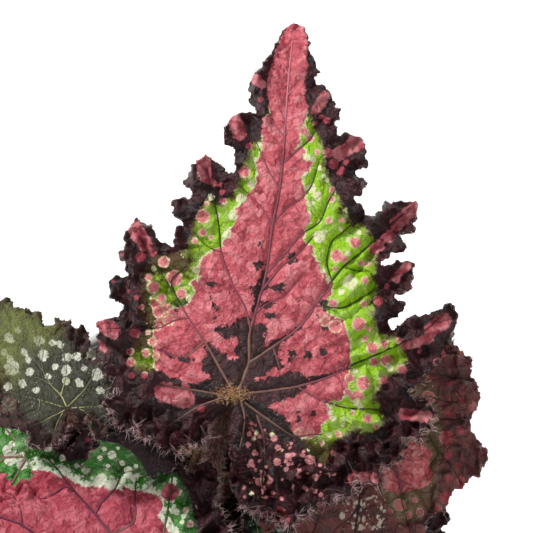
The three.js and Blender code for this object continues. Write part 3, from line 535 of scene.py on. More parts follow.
class PlantSettings(bpy.types.PropertyGroup):
    """The sizes and colours that a user would change."""

    flame: PointerProperty(type=LeafColours)
    meadow: PointerProperty(type=LeafColours)
    dusk: PointerProperty(type=LeafColours)
    night: PointerProperty(type=LeafColours)
    moss: PointerProperty(type=LeafColours)
    frost: PointerProperty(type=LeafColours)
    sheet: millimetres("Blade thickness", "Thickness of a leaf blade", 0.7, 0.3, 0.9)
    pucker: millimetres("Puckers", "How far the blade swells between its ribs", 0.5, 0, 2)
    hair: millimetres("Hair length", "Length of the hairs on the leaf edges", 2, 0.2, 5)
    hair_step: millimetres("Hair spacing", "Distance between edge hairs", 0.5, 0.1, 5)
    stalk_hairs: IntProperty(name="Stalk hairs", description="Hairs on each leaf stalk",
                             default=570, min=0, max=3000)
    crumbs: IntProperty(name="Crumbs", description="Loose crumbs on the soil",
                        default=1500, min=0, max=6000)
    hair_colour: tone("Hairs", "The hairs on the edges", colour(244, 224, 218))
    stalk_colour: tone("Stalks", "The leaf stalks", colour(128, 66, 52))
    rib_colour: tone("Ribs", "The ribs near the stalk", colour(150, 112, 96))
    soil_colour: tone("Soil", "Moist potting soil", colour(46, 33, 25))
    pot_colour: tone("Pot", "The plain pot", colour(206, 206, 203))
    floor_colour: tone("Floor", "The pale floor", colour(250, 250, 250))


# ---------------- shader maths


class Value:
    """A node's output that can be written in sums."""

    def __init__(self, shader, socket):
        self.shader = shader
        self.socket = socket

    def maths(self, operation, a, b):
        return self.shader.node("ShaderNodeMath", {"operation": operation}, {0: a, 1: b})

    def __add__(self, other):
        return self.maths("ADD", self, other)

    def __sub__(self, other):
        return self.maths("SUBTRACT", self, other)

    def __mul__(self, other):
        return self.maths("MULTIPLY", self, other)


class Shader:
    """One material's nodes, with its finish set on the surface shader's own sockets."""

    def __init__(self, name, **finish):
        self.material = bpy.data.materials.new(name)
        self.material.use_nodes = True
        self.nodes = self.material.node_tree.nodes
        self.links = self.material.node_tree.links
        self.surface = self.nodes["Principled BSDF"]
        for socket, value in finish.items():
            self.surface.inputs[socket.replace("_", " ")].default_value = value

    def node(self, kind, settings=None, inputs=None, output=0):
        node = self.nodes.new(kind)
        for key, value in (settings or {}).items():
            setattr(node, key, value)
        for key, value in (inputs or {}).items():
            self.feed(node.inputs[key], value)
        return Value(self, node.outputs[output])

    def feed(self, socket, value):
        if isinstance(value, Value):
            self.links.new(value.socket, socket)
        elif socket.type == "RGBA":
            socket.default_value = (*value[:3], 1)
        else:
            socket.default_value = value

    def finish(self, **links):
        """Feeds the surface shader's sockets, and gives the material."""
        for socket, value in links.items():
            self.feed(self.surface.inputs[socket.replace("_", " ")], value)
        return self.material

    def place(self):
        """Object coordinates, in millimetres."""
        here = self.node("ShaderNodeTexCoord", output="Object")
        return self.scaled(here, 1 / MM)

    def scaled(self, vector, factor):
        return self.node("ShaderNodeVectorMath", {"operation": "SCALE"},
                         {"Vector": vector, "Scale": factor})

    def attribute(self, name, output="Fac"):
        return self.node("ShaderNodeAttribute", {"attribute_name": name}, output=output)

    def noise(self, vector, size, detail=2, rough=0.5, output="Fac", twist=0):
        """Noise whose lumps are about this size, in the vector's units, round 0.5."""
        return self.node("ShaderNodeTexNoise", {}, {"Vector": vector, "Scale": 1 / size,
                         "Detail": detail, "Roughness": rough, "Distortion": twist}, output)

    def cells(self, vector, size, output="Distance", feature="F1"):
        """Uneven cells about this size: distances from their middles or edges, or a colour."""
        return self.node("ShaderNodeTexVoronoi", {"feature": feature},
                         {"Vector": vector, "Scale": 1 / size}, output)

    def step(self, value, low, high, start=0, end=1):
        """start below low, end above high, smooth between."""
        return self.node("ShaderNodeMapRange", {"interpolation_type": "SMOOTHSTEP"},
                         {"Value": value, "From Min": low, "From Max": high, "To Min": start,
                          "To Max": end})

    def mix(self, factor, a, b):
        node = self.nodes.new("ShaderNodeMix")
        node.data_type = "RGBA"
        for key, value in ((0, factor), (6, a), (7, b)):
            self.feed(node.inputs[key], value)
        return Value(self, node.outputs[2])

    def bump(self, height, distance, strength=1.0):
        return self.node("ShaderNodeBump", {}, {"Height": height, "Distance": distance,
                         "Strength": strength})

    def most(self, a, b):
        return self.node("ShaderNodeMath", {"operation": "MAXIMUM"}, {0: a, 1: b})

    def part(self, vector, axis):
        return self.node("ShaderNodeSeparateXYZ", {}, {"Vector": vector}, axis)


def leaf_top(name, look, colours):
    """The upper side of a blade: heart, cream line, green band, dark margin, spots and cells."""
    s = Shader(name, Specular_IOR_Level=0.3)
    at = s.attribute("pattern", "Vector")
    heart, band, vein = s.attribute("heart"), s.attribute("band"), s.attribute("vein")
    spots, creams, blotch = s.attribute("spots"), s.attribute("creams"), s.attribute("blotch")
    puff = s.attribute("puff")
    coarse = look.get("coarse", 1)
    ragged = (s.noise(at, 9 * coarse, 3, 0.6) - 0.5) * 9 * coarse
    ragged = ragged + (s.noise(at, 2.6 * coarse, 2) - 0.5) * 4 * coarse
    soft = (s.noise(at, 22, 2) - 0.5) * 2
    fine = (s.noise(at, 1.7, 2) - 0.5) * 2
    small = (s.noise(at, 4, 4, 0.62) - 0.5) * 2
    lace = (s.noise(at, 6.5, 4, 0.66) - 0.5) * 2
    cell_at = s.node("ShaderNodeVectorMath", {"operation": "ADD"},
                     {0: at, 1: s.scaled(s.noise(at, 5, 3, output="Color"), 6)})
    cell = s.cells(cell_at, 8)
    shade = s.node("ShaderNodeSeparateColor", {}, {"Color": s.cells(cell_at, 8, "Color")})
    seam = s.step(s.cells(cell_at, 8, feature="DISTANCE_TO_EDGE"), 0.0, 0.13, 1, 0)

    # the pink middle: puffs with a painted highlight on top and painted shade in the seams between
    # them
    pink = s.mix(s.step(soft * 0.25 + shade * 0.25 + small * 0.5, -0.3, 0.35), colours.deep,
                 colours.heart)
    pink = s.mix(s.step(shade + lace * 0.5, 0.5, 1.0) * 0.45, pink, colours.pale)
    pink = s.mix(s.step(soft + lace * 0.6, 0.1, 0.6) * 0.35, pink, colours.pale)
    # painted highlight: paler on the puffs' tops and in the cells' middles
    pale = s.step(puff * 0.6 + small * 0.6 + soft * 0.3 - cell * 0.5, 0.2, 0.9)
    pink = s.mix(pale * 0.6, pink, colours.pale)
    pink = s.mix(s.step(shade - lace * 0.5, 0.2, 0.0) * 0.4, pink, colours.deep)
    # painted shade: deeper where the puffs dip into their seams
    pink = s.mix(s.step(puff + lace * 0.4, 0.2, 0.0) * 0.35, pink, colours.deep)
    pink = s.mix(seam * s.step(lace, -0.1, 0.4) * 0.35, pink, colours.deep)

    # the green band, bright inside and dark outside, with small dark seams
    mottle = s.step(small + fine * 0.6, 0.05, 0.6)
    outward = s.step(band + ragged * 0.9 + lace * 8, 0, 15, 0.55, 0)
    green = s.mix(outward, colours.band, colours.outer)
    brown = s.step(band + ragged * 1.2 + lace * 13 + small * 4, 3.2, 1.4)
    green = s.mix(brown * 0.9, green, colours.outer)
    green = s.mix(mottle * 0.4, green, colours.outer)
    green = s.mix(seam * s.step(lace, -0.1, 0.4) * 0.5, green, colours.outer)
    # painted highlight: cream on the puffs' tops
    green = s.mix(s.step(puff, 0.5, 1) * (0.05 if look.get("flush") else 0.2), green,
                  colours.cream)
    if not look.get("flush"):
        left = s.step(s.part(at, "X"), -5, -55)
        green = s.mix(left * s.step(lace + small, -0.5, 0.3) * 0.62, green, colours.outer)
        shaded = s.step(s.attribute("flush") + ragged * 1.5 + lace * 12, -5, 5) * 0.92
        green = s.mix(shaded, green, colours.outer)

    # the margin, near black, with a maroon cast in patches
    cast = s.step(s.noise(at, 14, 3), 0.4, 0.65) * 0.85
    dark = s.mix(cast, colours.margin, colours.charcoal)
    dark = s.mix(s.step(small + fine * 0.3, 0.3, 0.9) * 0.25, dark, colours.blotch)
    base = s.step(s.part(at, "Y"), -22, -55)
    dark = s.mix(s.step(small * 0.7 + fine + lace * 0.5, 0.2, 0.9) * base * 0.5, dark,
                 colours.spot)

    body = s.mix(s.step(band + ragged * 0.9 + small * 4, -0.8, 0.9), dark, green)
    ring = look["ring"]
    if ring:
        patch = s.step(lace + small * 0.5, -0.4, 0.5) * ring * 1.4
        line = s.step(heart + ragged * 0.9 + small * 3 + patch + ring * 0.25, -0.5, 0.8)
        line = line * s.step(band, -1, 2) * s.step(fine + small, -0.9, -0.1, 0.25, 1)
        body = s.mix(line, body, colours.cream)
    body = s.mix(s.step(heart + ragged * 0.6 + small * 3.5, -0.5, 0.6), body, pink)

    # the dark along the ribs, near the stalk, broken up into a lace
    if look["charcoal"]:
        edge = s.attribute("charcoal") + 0.4 + lace * 7 + small * 6 + fine * 1.5
        edge = edge + s.step(s.attribute("reach"), 80, 35) * 3.2
        along = s.step(edge * look["charcoal"], -0.8, 0.8) * s.step(heart, -14, 0)
        stain = s.mix(s.step(lace + small, -0.2, 0.6) * 0.35, colours.charcoal, colours.margin)
        body = s.mix(along * s.step(small * 0.6 + lace, -0.75, -0.1, 0.55, 0.96), body, stain)

    # round spots with a cream rim on green, and small dots
    rim = look["rings"]
    rough_spots = spots + ragged * 0.25 + small * 1.2 + fine * 0.7
    on_green = s.step(band + small * 2, -3, 3)
    rims = s.mix(s.step(fine + small, -0.5, 0.6), colours.spot, colours.cream)
    body = s.mix(s.step(rough_spots, -0.6, 0.5) * on_green, body, rims)
    core = s.step(rough_spots - on_green * rim, -0.4, 0.6)
    speckled = s.mix(s.step(fine + small, 0.1, 0.9) * on_green * 0.5, colours.spot, colours.cream)
    off_green = s.mix(s.step(small + soft * 0.4, -0.5, 0.4), colours.deep, colours.blotch)
    off_green = s.mix(base * s.step(fine + small, -0.8, 0.3), off_green, colours.pale)
    body = s.mix(core, body, s.mix(on_green, off_green, speckled))
    cream = s.mix(mottle * 0.45, colours.cream, colours.pale)
    blobs = s.step(creams + ragged * 0.45 * coarse + small * 2.2 * coarse, -0.5 * coarse, 0.6)
    blobs = blobs * s.step(heart + ragged * 0.6, 5, 2)
    if ring > 5:
        blobs = blobs * s.step(band, -6, -2)
    body = s.mix(blobs, body, cream)
    dots = s.step(s.cells(at, 5.4), 0.1, 0.2, 1, 0) * s.step(s.noise(at, 10, 1), 0.5, 0.56)
    dots = dots * s.step(heart, -2, -4) * s.step(band, 0, 3)
    body = s.mix(dots * 0.8, body, colours.cream)

    # pink blotches on the lobes
    patchy = s.mix(s.step(small + lace * 0.5, -0.35, 0.4), colours.deep, colours.blotch)
    # painted highlight: paler on the puffs' tops in the blotches
    patchy = s.mix(s.step(puff + small * 0.3, 0.3, 0.9) * 0.5, patchy, colours.pale)
    body = s.mix(s.step(blotch + ragged * 0.7 + small * 2.5, -0.8, 1.2), body, patchy)

    # a yellow-green flush where light comes through
    if look.get("flush"):
        lit = s.step(s.attribute("flush") + ragged + lace * 20 + soft * 12, -44, 34) * 0.75
        body = s.mix(lit, body, look["flush"])

    # the ribs' own lines, and light and dark grain all over
    line = s.step(vein + fine * 0.3, 0.3, 1.6, 0.35, 0)
    body = s.mix(line, body, s.mix(s.step(heart, -1, 1), colours.charcoal, colours.deep))
    body = s.mix(s.step(fine, 0.15, 0.8) * 0.12, body, colours.pale)
    body = s.mix(s.step(fine, -0.8, -0.2, 0.35, 0), body, colours.margin)
    creases = s.step(s.noise(at, 11, 2, twist=1.2), 0.3, 0.7)
    grain = cell * -0.45 + small * 0.7 + lace * 0.7 + fine * 0.18 + creases * 1.1
    rough = s.step(s.noise(at, 5, 2) + s.step(band, -4, 4) * 0.2, 0.3, 0.8, 0.34, 0.58)
    return s.finish(Base_Color=body, Roughness=rough, Normal=s.bump(grain, 0.7 * MM, 0.9))


def leaf_under(name, colours):
    """The underside of a blade, maroon, paler along its net of veins."""
    s = Shader(name, Specular_IOR_Level=0.35, Sheen_Weight=0.2, Sheen_Roughness=0.5)
    at = s.attribute("pattern", "Vector")
    vein = s.attribute("vein")
    net = s.cells(at, 9, feature="DISTANCE_TO_EDGE")
    lines = s.step(net, 0.01, 0.1, 1, 0)
    base = s.mix(s.step(s.noise(at, 18, 3), 0.35, 0.65), colours.under, colours.deep)
    base = s.mix(s.step(s.attribute("band"), -4, 10) * 0.3, base, colours.outer)
    base = s.mix(lines * 0.3, base, colours.pale)
    base = s.mix(s.step(vein, 1.5, 5, 0.4, 0), base, colours.pale)
    height = lines + s.noise(at, 2.5, 3) * 0.6
    return s.finish(Base_Color=base, Roughness=s.step(s.noise(at, 6, 2), 0.3, 0.7, 0.5, 0.7),
                    Normal=s.bump(height, 0.3 * MM, 0.7))


def rib_material(settings, look):
    """The ribs: tan by the stalk, mauve in the pink, nearly black in the green and the margin."""
    s = Shader("ribs_" + look, Specular_IOR_Level=0.3)
    at = s.attribute("pattern", "Vector")
    reach = s.attribute("reach")
    mauves = colour(108, 54, 68), colour(150, 80, 94)
    if look == "meadow":
        mauves = colour(76, 30, 50), colour(108, 48, 66)
    mauve = s.mix(s.noise(at, 9, 2), *mauves)
    high = s.mix(s.step(reach, 240, 300), mauve, colour(196, 120, 130))
    tan = s.mix(s.noise(at, 5, 2), settings.rib_colour, colour(98, 72, 66))
    middle = s.mix(s.step(reach, 22, 75), tan, high)
    green = s.mix(s.step(s.attribute("band"), -2, 3), colour(52, 34, 36), colour(50, 64, 24))
    tint = s.mix(s.step(s.attribute("heart"), -2, 2), green, middle)
    tint = s.mix(s.step(reach, 85, 30), tint, tan)
    if look in ("moss", "frost"):
        tint = s.mix(s.step(reach, 10, 110), colour(178, 176, 118), colour(98, 100, 84))
    return s.finish(Base_Color=tint, Roughness=s.step(s.noise(at, 4, 2), 0.3, 0.7, 0.4, 0.6),
                    Normal=s.bump(s.noise(at, 1.5, 2), 0.1 * MM, 0.6))


def hair_material(name, base, tip):
    """Hairs, from base colour at the root to tip colour, each a little different."""
    s = Shader(name, Specular_IOR_Level=0.4)
    along = s.attribute("along")
    tint = s.mix(s.step(along, 0.1, 0.9), base, tip)
    tint = s.mix(s.step(s.attribute("tint"), 0.3, 0.8) * 0.85, tint, base)
    return s.finish(Base_Color=tint, Roughness=along * -0.15 + 0.55)


def stalk_material(settings):
    s = Shader("stalks", Specular_IOR_Level=0.4, Sheen_Weight=0.2)
    at = s.place()
    streak = s.node("ShaderNodeMapping", {}, {"Vector": at, "Scale": (1, 1, 0.12)})
    tint = s.mix(s.step(s.noise(streak, 0.9, 3), 0.35, 0.65), settings.stalk_colour,
                 colour(64, 30, 28))
    tint = s.mix(s.step(s.cells(at, 1.7), 0.12, 0.3, 0.8, 0), tint, colour(186, 136, 110))
    tint = s.mix(s.step(s.noise(at, 9, 2), 0.5, 0.7) * 0.4, tint, colour(120, 110, 60))
    rough = s.step(s.noise(at, 2, 2), 0.3, 0.7, 0.45, 0.7)
    return s.finish(Base_Color=tint, Roughness=rough,
                    Normal=s.bump(s.noise(streak, 0.6, 3), 0.3 * MM, 0.7))


def soil_material(settings, name, light, dark):
    s = Shader(name, Specular_IOR_Level=0.25)
    at = s.place()
    grain = s.noise(at, 1.6, 5, 0.65)
    tint = s.mix(s.step(grain, 0.35, 0.65), dark, light)
    tint = s.mix(s.step(s.noise(at, 12, 2), 0.45, 0.7) * 0.5, tint, settings.soil_colour)
    tint = s.mix(s.step(s.noise(at, 0.7, 2), 0.68, 0.72) * 0.5, tint, colour(132, 104, 78))
    return s.finish(Base_Color=tint, Roughness=s.step(grain, 0.3, 0.7, 0.75, 0.97),
                    Normal=s.bump(grain + s.noise(at, 0.5, 3) * 0.5, 0.5 * MM, 0.9))


def pot_material(settings):
    """Satin moulded plastic, with the faintest mottle, and soil dust where a hand can't wipe."""
    s = Shader("pot", Specular_IOR_Level=0.5, Coat_Roughness=0.25)
    at = s.place()
    height = s.part(at, "Z")
    cloud = s.noise(at, 26, 3)
    tint = s.mix(s.step(cloud, 0.35, 0.7) * 0.5, settings.pot_colour, colour(192, 192, 188))
    low = s.step(height + (s.noise(at, 7, 4, 0.6) - 0.5) * 16, 0, 9, 0.35, 0)
    dust = s.step(s.noise(at, 1.1, 3, 0.6), 0.66, 0.74) * s.step(height, 96, 124, 0.08, 0.4)
    tint = s.mix(s.most(low, dust), tint, colour(150, 134, 116))
    skin = s.noise(at, 0.45, 2) + s.noise(at, 9, 2) * 0.8
    return s.finish(Base_Color=tint, Roughness=s.step(cloud, 0.3, 0.75, 0.3, 0.42),
                    Coat_Weight=s.step(cloud, 0.3, 0.7, 0.1, 0.2),
                    Normal=s.bump(skin, 0.05 * MM, 0.5))


def floor_material(settings):
    s = Shader("floor", Specular_IOR_Level=0.2, Emission_Color=(1, 1, 1, 1),
               Emission_Strength=0.35)
    at = s.place()
    tint = s.mix(s.noise(at, 60, 3) * 0.4, settings.floor_colour, colour(244, 244, 244))
    return s.finish(Base_Color=tint, Roughness=s.step(s.noise(at, 30, 3), 0.3, 0.7, 0.55, 0.7),
                    Normal=s.bump(s.noise(at, 1.2, 3), 0.05 * MM, 0.2))


# ---------------- curves, noise and distances


def curve_points(points, values):
    """Points on a smooth curve through these points, where 0 is the first and 1 the second."""
    p = np.array(points, float)
    p = np.vstack([2 * p[0] - p[1], p, 2 * p[-1] - p[-2]])
    k = np.clip(np.floor(values).astype(int), 0, len(points) - 2)
    t = (np.asarray(values, float) - k)[:, None]
    a, b, c, d = (p[k + n] for n in range(4))
    ab, bc, cd = (np.maximum(np.linalg.norm(v - u, axis=1) ** 0.5, 1e-4)[:, None]
                  for u, v in ((a, b), (b, c), (c, d)))
    start = ((b - a) / ab - (c - a) / (ab + bc) + (c - b) / bc) * bc
    end = ((c - b) / bc - (d - b) / (bc + cd) + (d - c) / cd) * bc
    cubic = 2 * b - 2 * c + start + end
    square = -3 * b + 3 * c - 2 * start - end
    return b + start * t + square * t**2 + cubic * t**3


def smoothstep(low, high, value):
    t = np.clip((value - low) / (high - low), 0, 1)
    return t * t * (3 - 2 * t)


LATTICE = np.random.default_rng(5).random((128, 128)) * 2 - 1


def lumps(x, y, size, seed=0):
    """Smooth noise from -1 to 1 over a plane, with lumps of this size."""
    x, y = x / size + 17.3 * seed, y / size + 9.1 * seed
    left, low = np.floor(x).astype(int), np.floor(y).astype(int)
    u, v = x - left, y - low
    u, v = u * u * (3 - 2 * u), v * v * (3 - 2 * v)
    corner = [[LATTICE[(left + i) % 128, (low + j) % 128] for j in (0, 1)] for i in (0, 1)]
    bottom = corner[0][0] * (1 - u) + corner[1][0] * u
    top = corner[0][1] * (1 - u) + corner[1][1] * u
    return bottom * (1 - v) + top * v


def folds(x, y, size, seed=0):
    """Sharp creases between rounded lumps, from -1 to 1."""
    return 1 - 2.6 * np.abs(lumps(x, y, size, seed))


def domes(x, y, size, seed=0):
    """Rounded cells of this size, 1 at their tops and 0 in the seams between."""
    u, v = x / size, y / size
    left, low = np.floor(u).astype(int), np.floor(v).astype(int)
    best = np.full(np.shape(x), 9.0)
    for i in (-1, 0, 1):
        for j in (-1, 0, 1):
            a, b = left + i, low + j
            across = a + 0.5 + 0.42 * LATTICE[(a + 7 * seed) % 128, b % 128]
            up = b + 0.5 + 0.42 * LATTICE[(b + 31) % 128, (a + 5 * seed) % 128]
            best = np.minimum(best, np.hypot(u - across, v - up))
    return np.clip(1 - 1.4 * best**2, 0, 1)


def line_distance(x, y, line, closed=False):
    """How far each point is from a line of points."""
    best = np.full(np.shape(x), np.inf)
    for (ax, ay, *_), (bx, by, *_) in zip(line, line[1:] + (line[:1] if closed else [])):
        dx, dy = bx - ax, by - ay
        h = np.clip(((x - ax) * dx + (y - ay) * dy) / max(dx * dx + dy * dy, 1e-9), 0, 1)
        best = np.minimum(best, np.hypot(x - ax - h * dx, y - ay - h * dy))
    return best


def inside(x, y, line):
    """Whether each point is inside a closed line."""
    odd = np.zeros(np.shape(x), bool)
    for (ax, ay, *_), (bx, by, *_) in zip(line, line[1:] + line[:1]):
        if ay != by:
            crosses = (ay > y) != (by > y)
            odd ^= crosses & (x < (bx - ax) * (y - ay) / (by - ay) + ax)
    return odd


def signed_distance(x, y, line):
    """How far inside a closed line each point is, and how far outside as a negative."""
    return np.where(inside(x, y, line), 1, -1) * line_distance(x, y, line, closed=True)


def spot_distance(x, y, spots):
    """How far inside the nearest round spot each point is."""
    best = np.full(np.shape(x), -FAR)
    for sx, sy, radius in spots:
        best = np.maximum(best, radius - np.hypot(x - sx, y - sy))
    return best


# ---------------- mesh tools


def bare():
    """Nothing selected, and object mode."""
    if bpy.context.object and bpy.context.object.mode != "OBJECT":
        bpy.ops.object.mode_set(mode="OBJECT")
    bpy.ops.object.select_all(action="DESELECT")


def take(obj):
    bare()
    obj.select_set(True)
    bpy.context.view_layer.objects.active = obj
    return obj


def named(name):
    obj = bpy.context.object
    obj.name = obj.data.name = name
    return obj


def join(*objects):
    """Joins these objects into the first one."""
    take(objects[0])
    for obj in objects:
        obj.select_set(True)
    bpy.ops.object.join()


def points_of(obj):
    points = np.zeros(len(obj.data.vertices) * 3)
    obj.data.vertices.foreach_get("co", points)
    return points.reshape(-1, 3)


def move_points(obj, points):
    obj.data.vertices.foreach_set("co", points.astype(np.float32).ravel())
    obj.data.update()


def drop_maps(obj):
    """Takes off the texture maps that Blender adds, because no material here uses one."""
    while obj.data.uv_layers:
        obj.data.uv_layers.remove(obj.data.uv_layers[0])


def edit(obj, *steps):
    """Runs edit-mode steps on a whole mesh."""
    take(obj)
    bpy.ops.object.mode_set(mode="EDIT")
    bpy.ops.mesh.select_all(action="SELECT")
    for step in steps:
        step()
    bpy.ops.object.mode_set(mode="OBJECT")


def apply_modifier(obj, kind, **settings):
    take(obj)
    modifier = obj.modifiers.new(kind.title(), kind)
    for key, value in settings.items():
        setattr(modifier, key, value)
    bpy.ops.object.modifier_apply(modifier=modifier.name)


def add_fields(obj, fields):
    """Stores a value or a vector at every point, under each field's name."""
    for key, values in fields.items():
        vector = values.ndim == 3 or (values.ndim == 2 and values.shape[-1] == 3)
        kind = "FLOAT_VECTOR" if vector else "FLOAT"
        attribute = obj.data.attributes.new(key, kind, "POINT")
        attribute.data.foreach_set("vector" if vector else "value",
                                   values.astype(np.float32).ravel())


def smooth(obj, angle=None):
    take(obj)
    if angle is None:
        bpy.ops.object.shade_smooth()
    else:
        bpy.ops.object.shade_smooth_by_angle(angle=math.radians(angle))


def turned_piece(name, profile, sides):
    """A profile of radius and height turned round the upright axis, closed at the axis."""
    angles = np.linspace(0, 2 * math.pi, sides + 1)
    radius, height = (np.array(values)[:, None] for values in zip(*profile))
    points = np.stack([radius * np.cos(angles), radius * np.sin(angles),
                       height + 0 * angles], axis=-1)
    bare()
    bpy.ops.mesh.primitive_grid_add(x_subdivisions=sides, y_subdivisions=len(profile) - 1,
                                    size=1)
    obj = named(name)
    move_points(obj, points * MM)
    edit(obj, lambda: bpy.ops.mesh.remove_doubles(threshold=JOINED),
         lambda: bpy.ops.mesh.delete_loose())
    drop_maps(obj)
    return obj


def copies(name, model, origins, axes, widths, lengths, *, turns, bends=None, fields=None):
    """Copies of a model that stands on its origin along +Z: at each origin, along each axis."""
    count = len(origins)
    shape = points_of(model)
    axes = axes / np.linalg.norm(axes, axis=1, keepdims=True)
    helper = np.where(np.abs(axes[:, 2:]) < 0.8, [[0.0, 0.0, 1.0]], [[1.0, 0.0, 0.0]])
    side = np.cross(axes, helper)
    side /= np.linalg.norm(side, axis=1, keepdims=True)
    other = np.cross(axes, side)
    cos, sin = np.cos(turns)[:, None], np.sin(turns)[:, None]
    side, other = side * cos + other * sin, other * cos - side * sin
    x, y, z = shape.T
    lean = 0 if bends is None else np.outer(bends, z**2)[..., None]
    points = (origins[:, None] + (side[:, None] * x[:, None] + other[:, None] * y[:, None])
              * widths[:, None, None] + axes[:, None] * (z[:, None] * lengths[:, None, None])
              + side[:, None] * lean)
    faces = [tuple(p.vertices) for p in model.data.polygons]
    take(model)
    bpy.ops.object.duplicate()
    obj = named(name)
    step = len(shape)
    mesh = bpy.data.meshes.new(name)
    mesh.from_pydata((points.reshape(-1, 3) * MM).tolist(), [],
                     [tuple(v + k * step for v in face) for k in range(count) for face in faces])
    obj.data = mesh
    add_fields(obj, {"along": np.tile(z, count).astype(float),
                     **{key: np.repeat(values, step) for key, values in (fields or {}).items()}})
    smooth(obj)
    return obj


def hair_model():
    """A thin three-sided spike, 1 long and 1 in radius, with two joints to bend at."""
    bare()
    bpy.ops.mesh.primitive_cone_add(vertices=3, radius1=1, radius2=0, depth=1,
                                    end_fill_type="TRIFAN", location=(0, 0, 0.5))
    obj = named("hair_model")
    bpy.ops.object.transform_apply(location=True)
    cut = dict(plane_no=(0, 0, 1), use_fill=False)
    edit(obj, lambda: bpy.ops.mesh.bisect(plane_co=(0, 0, 0.4), **cut),
         lambda: bpy.ops.mesh.select_all(action="SELECT"),
         lambda: bpy.ops.mesh.bisect(plane_co=(0, 0, 0.72), **cut))
    for vertex in obj.data.vertices:  # fuller in the middle than a plain cone
        if 0.1 < vertex.co.z < 0.95:
            vertex.co.x *= 1.35
            vertex.co.y *= 1.35
    return obj


def drop(*objects):
    for obj in objects:
        bpy.data.objects.remove(obj)


def add_piece(obj, slot, *nodes):
    """Puts a finished piece on the one body, in place of these solids. slot is not used."""
    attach(obj, "root")
    if nodes:
        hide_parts(*nodes)


# ---------------- one leaf's sheet


class Sheet:
    """Where a point of the drawn pattern lies in space, for one leaf."""

    def __init__(self, leaf):
        self.leaf = leaf
        heading, pitch, roll = np.radians([leaf["heading"], leaf["pitch"], leaf["roll"]])
        self.ahead = np.array([math.cos(heading) * math.cos(pitch),
                               math.sin(heading) * math.cos(pitch), math.sin(pitch)])
        right = np.array([math.sin(heading), -math.cos(heading), 0])
        self.right = right * math.cos(roll) + np.cross(self.ahead, right) * math.sin(roll)
        self.normal = np.cross(self.right, self.ahead)
        self.at = np.array(leaf["at"], float)
        self.unit = leaf["length"] / PATTERN_LENGTH
        self.side = -1 if leaf.get("mirror") else 1

    def point(self, x, y, offset):
        leaf = self.leaf
        u, v = self.side * x * self.unit, y * self.unit
        along = np.where(v > 0, leaf["fall"] * v + leaf["arch"] * v * v, leaf["base"] * v * v)
        rise = along + leaf["cup"] * u * u + offset
        return (self.at + self.right * u[..., None] + self.ahead * v[..., None]
                + self.normal * rise[..., None])


def outline(leaf):
    """The edge's drawn points, where each one's line starts, and the way round the edge."""
    drawn_points = RIGHT_EDGE[::-1] + [TIP] + LEFT_EDGE
    starts = [0] * (len(RIGHT_EDGE) - len(LINE_STARTS)) + LINE_STARTS[::-1] + [TIP_START]
    starts += LINE_STARTS + [0] * (len(LEFT_EDGE) - len(LINE_STARTS))
    depth = leaf.get("lobes", 1)
    sway = BLADE["sway"] if leaf["seed"] > 1 else 0
    edge = []
    for k, point in enumerate(drawn_points):
        near = np.array([p[:2] for p in drawn_points[max(0, k - LOBE_SPAN):k + LOBE_SPAN + 1]])
        mean = near.mean(axis=0)
        gain = 1 + sway * math.sin(BLADE["sway_rate"] * k + BLADE["sway_phase"] * leaf["seed"])
        gain *= leaf.get("shorter", {}).get(k, 1)
        edge.append(gain * (mean + (np.array(point[:2]) - mean) * depth))
    kept = [k for k, p in enumerate(drawn_points) if leaf.get("detail") or len(p) == 2]
    steps = [0] + [np.linalg.norm(edge[b] - edge[a]) for a, b in zip(kept, kept[1:])]
    along = np.interp(range(len(edge)), kept, np.cumsum(steps))
    return np.array(edge), np.array(starts, float), along


def teeth(along, seed):
    """Small uneven teeth on the edge, in the pattern's units."""
    wide = np.abs(np.sin(along / 3.4 + seed)) ** 0.6 - 0.6
    return 2.2 * wide + 1.1 * np.sin(along / 1.3 + 2 * seed) + 0.9 * lumps(along, 0 * along, 2, seed)


def rim_line(leaf):
    """The closed outline with its teeth, in the pattern's units, from the open base round."""
    if leaf.get("detail"):
        line = np.array(SEEN_RIGHT[::-1] + [TIP] + SEEN_LEFT)
        jag = 0.4 + 0.6 * smoothstep(60, -20, line[:, 1])
    else:
        line, jag = outline(leaf)[0], np.ones(len(RIGHT_EDGE) + len(LEFT_EDGE) + 1)
    way = np.concatenate([[0], np.cumsum(np.linalg.norm(np.diff(line, axis=0), axis=1))])
    round_edge = np.linspace(0, way[-1], int(way[-1] / 1.3))
    at = np.interp(round_edge, way, range(len(line)))
    rim = curve_points(line, at)
    out = np.gradient(rim, axis=0)
    out = np.stack([out[:, 1], -out[:, 0]], axis=1)
    out /= np.maximum(np.linalg.norm(out, axis=1, keepdims=True), 1e-6)
    jag = np.interp(at, range(len(line)), jag)
    rim = rim + out * (jag * teeth(round_edge, leaf["seed"]))[:, None]
    wide = 11 if leaf.get("detail") else 0
    side = [(sway - wide, rim[0][1] * share + SINUS[1] * (1 - share))
            for share, sway in ((0.2, 4), (0.4, 1), (0.6, 5), (0.8, 0))]
    return np.vstack([[SINUS], side, rim])


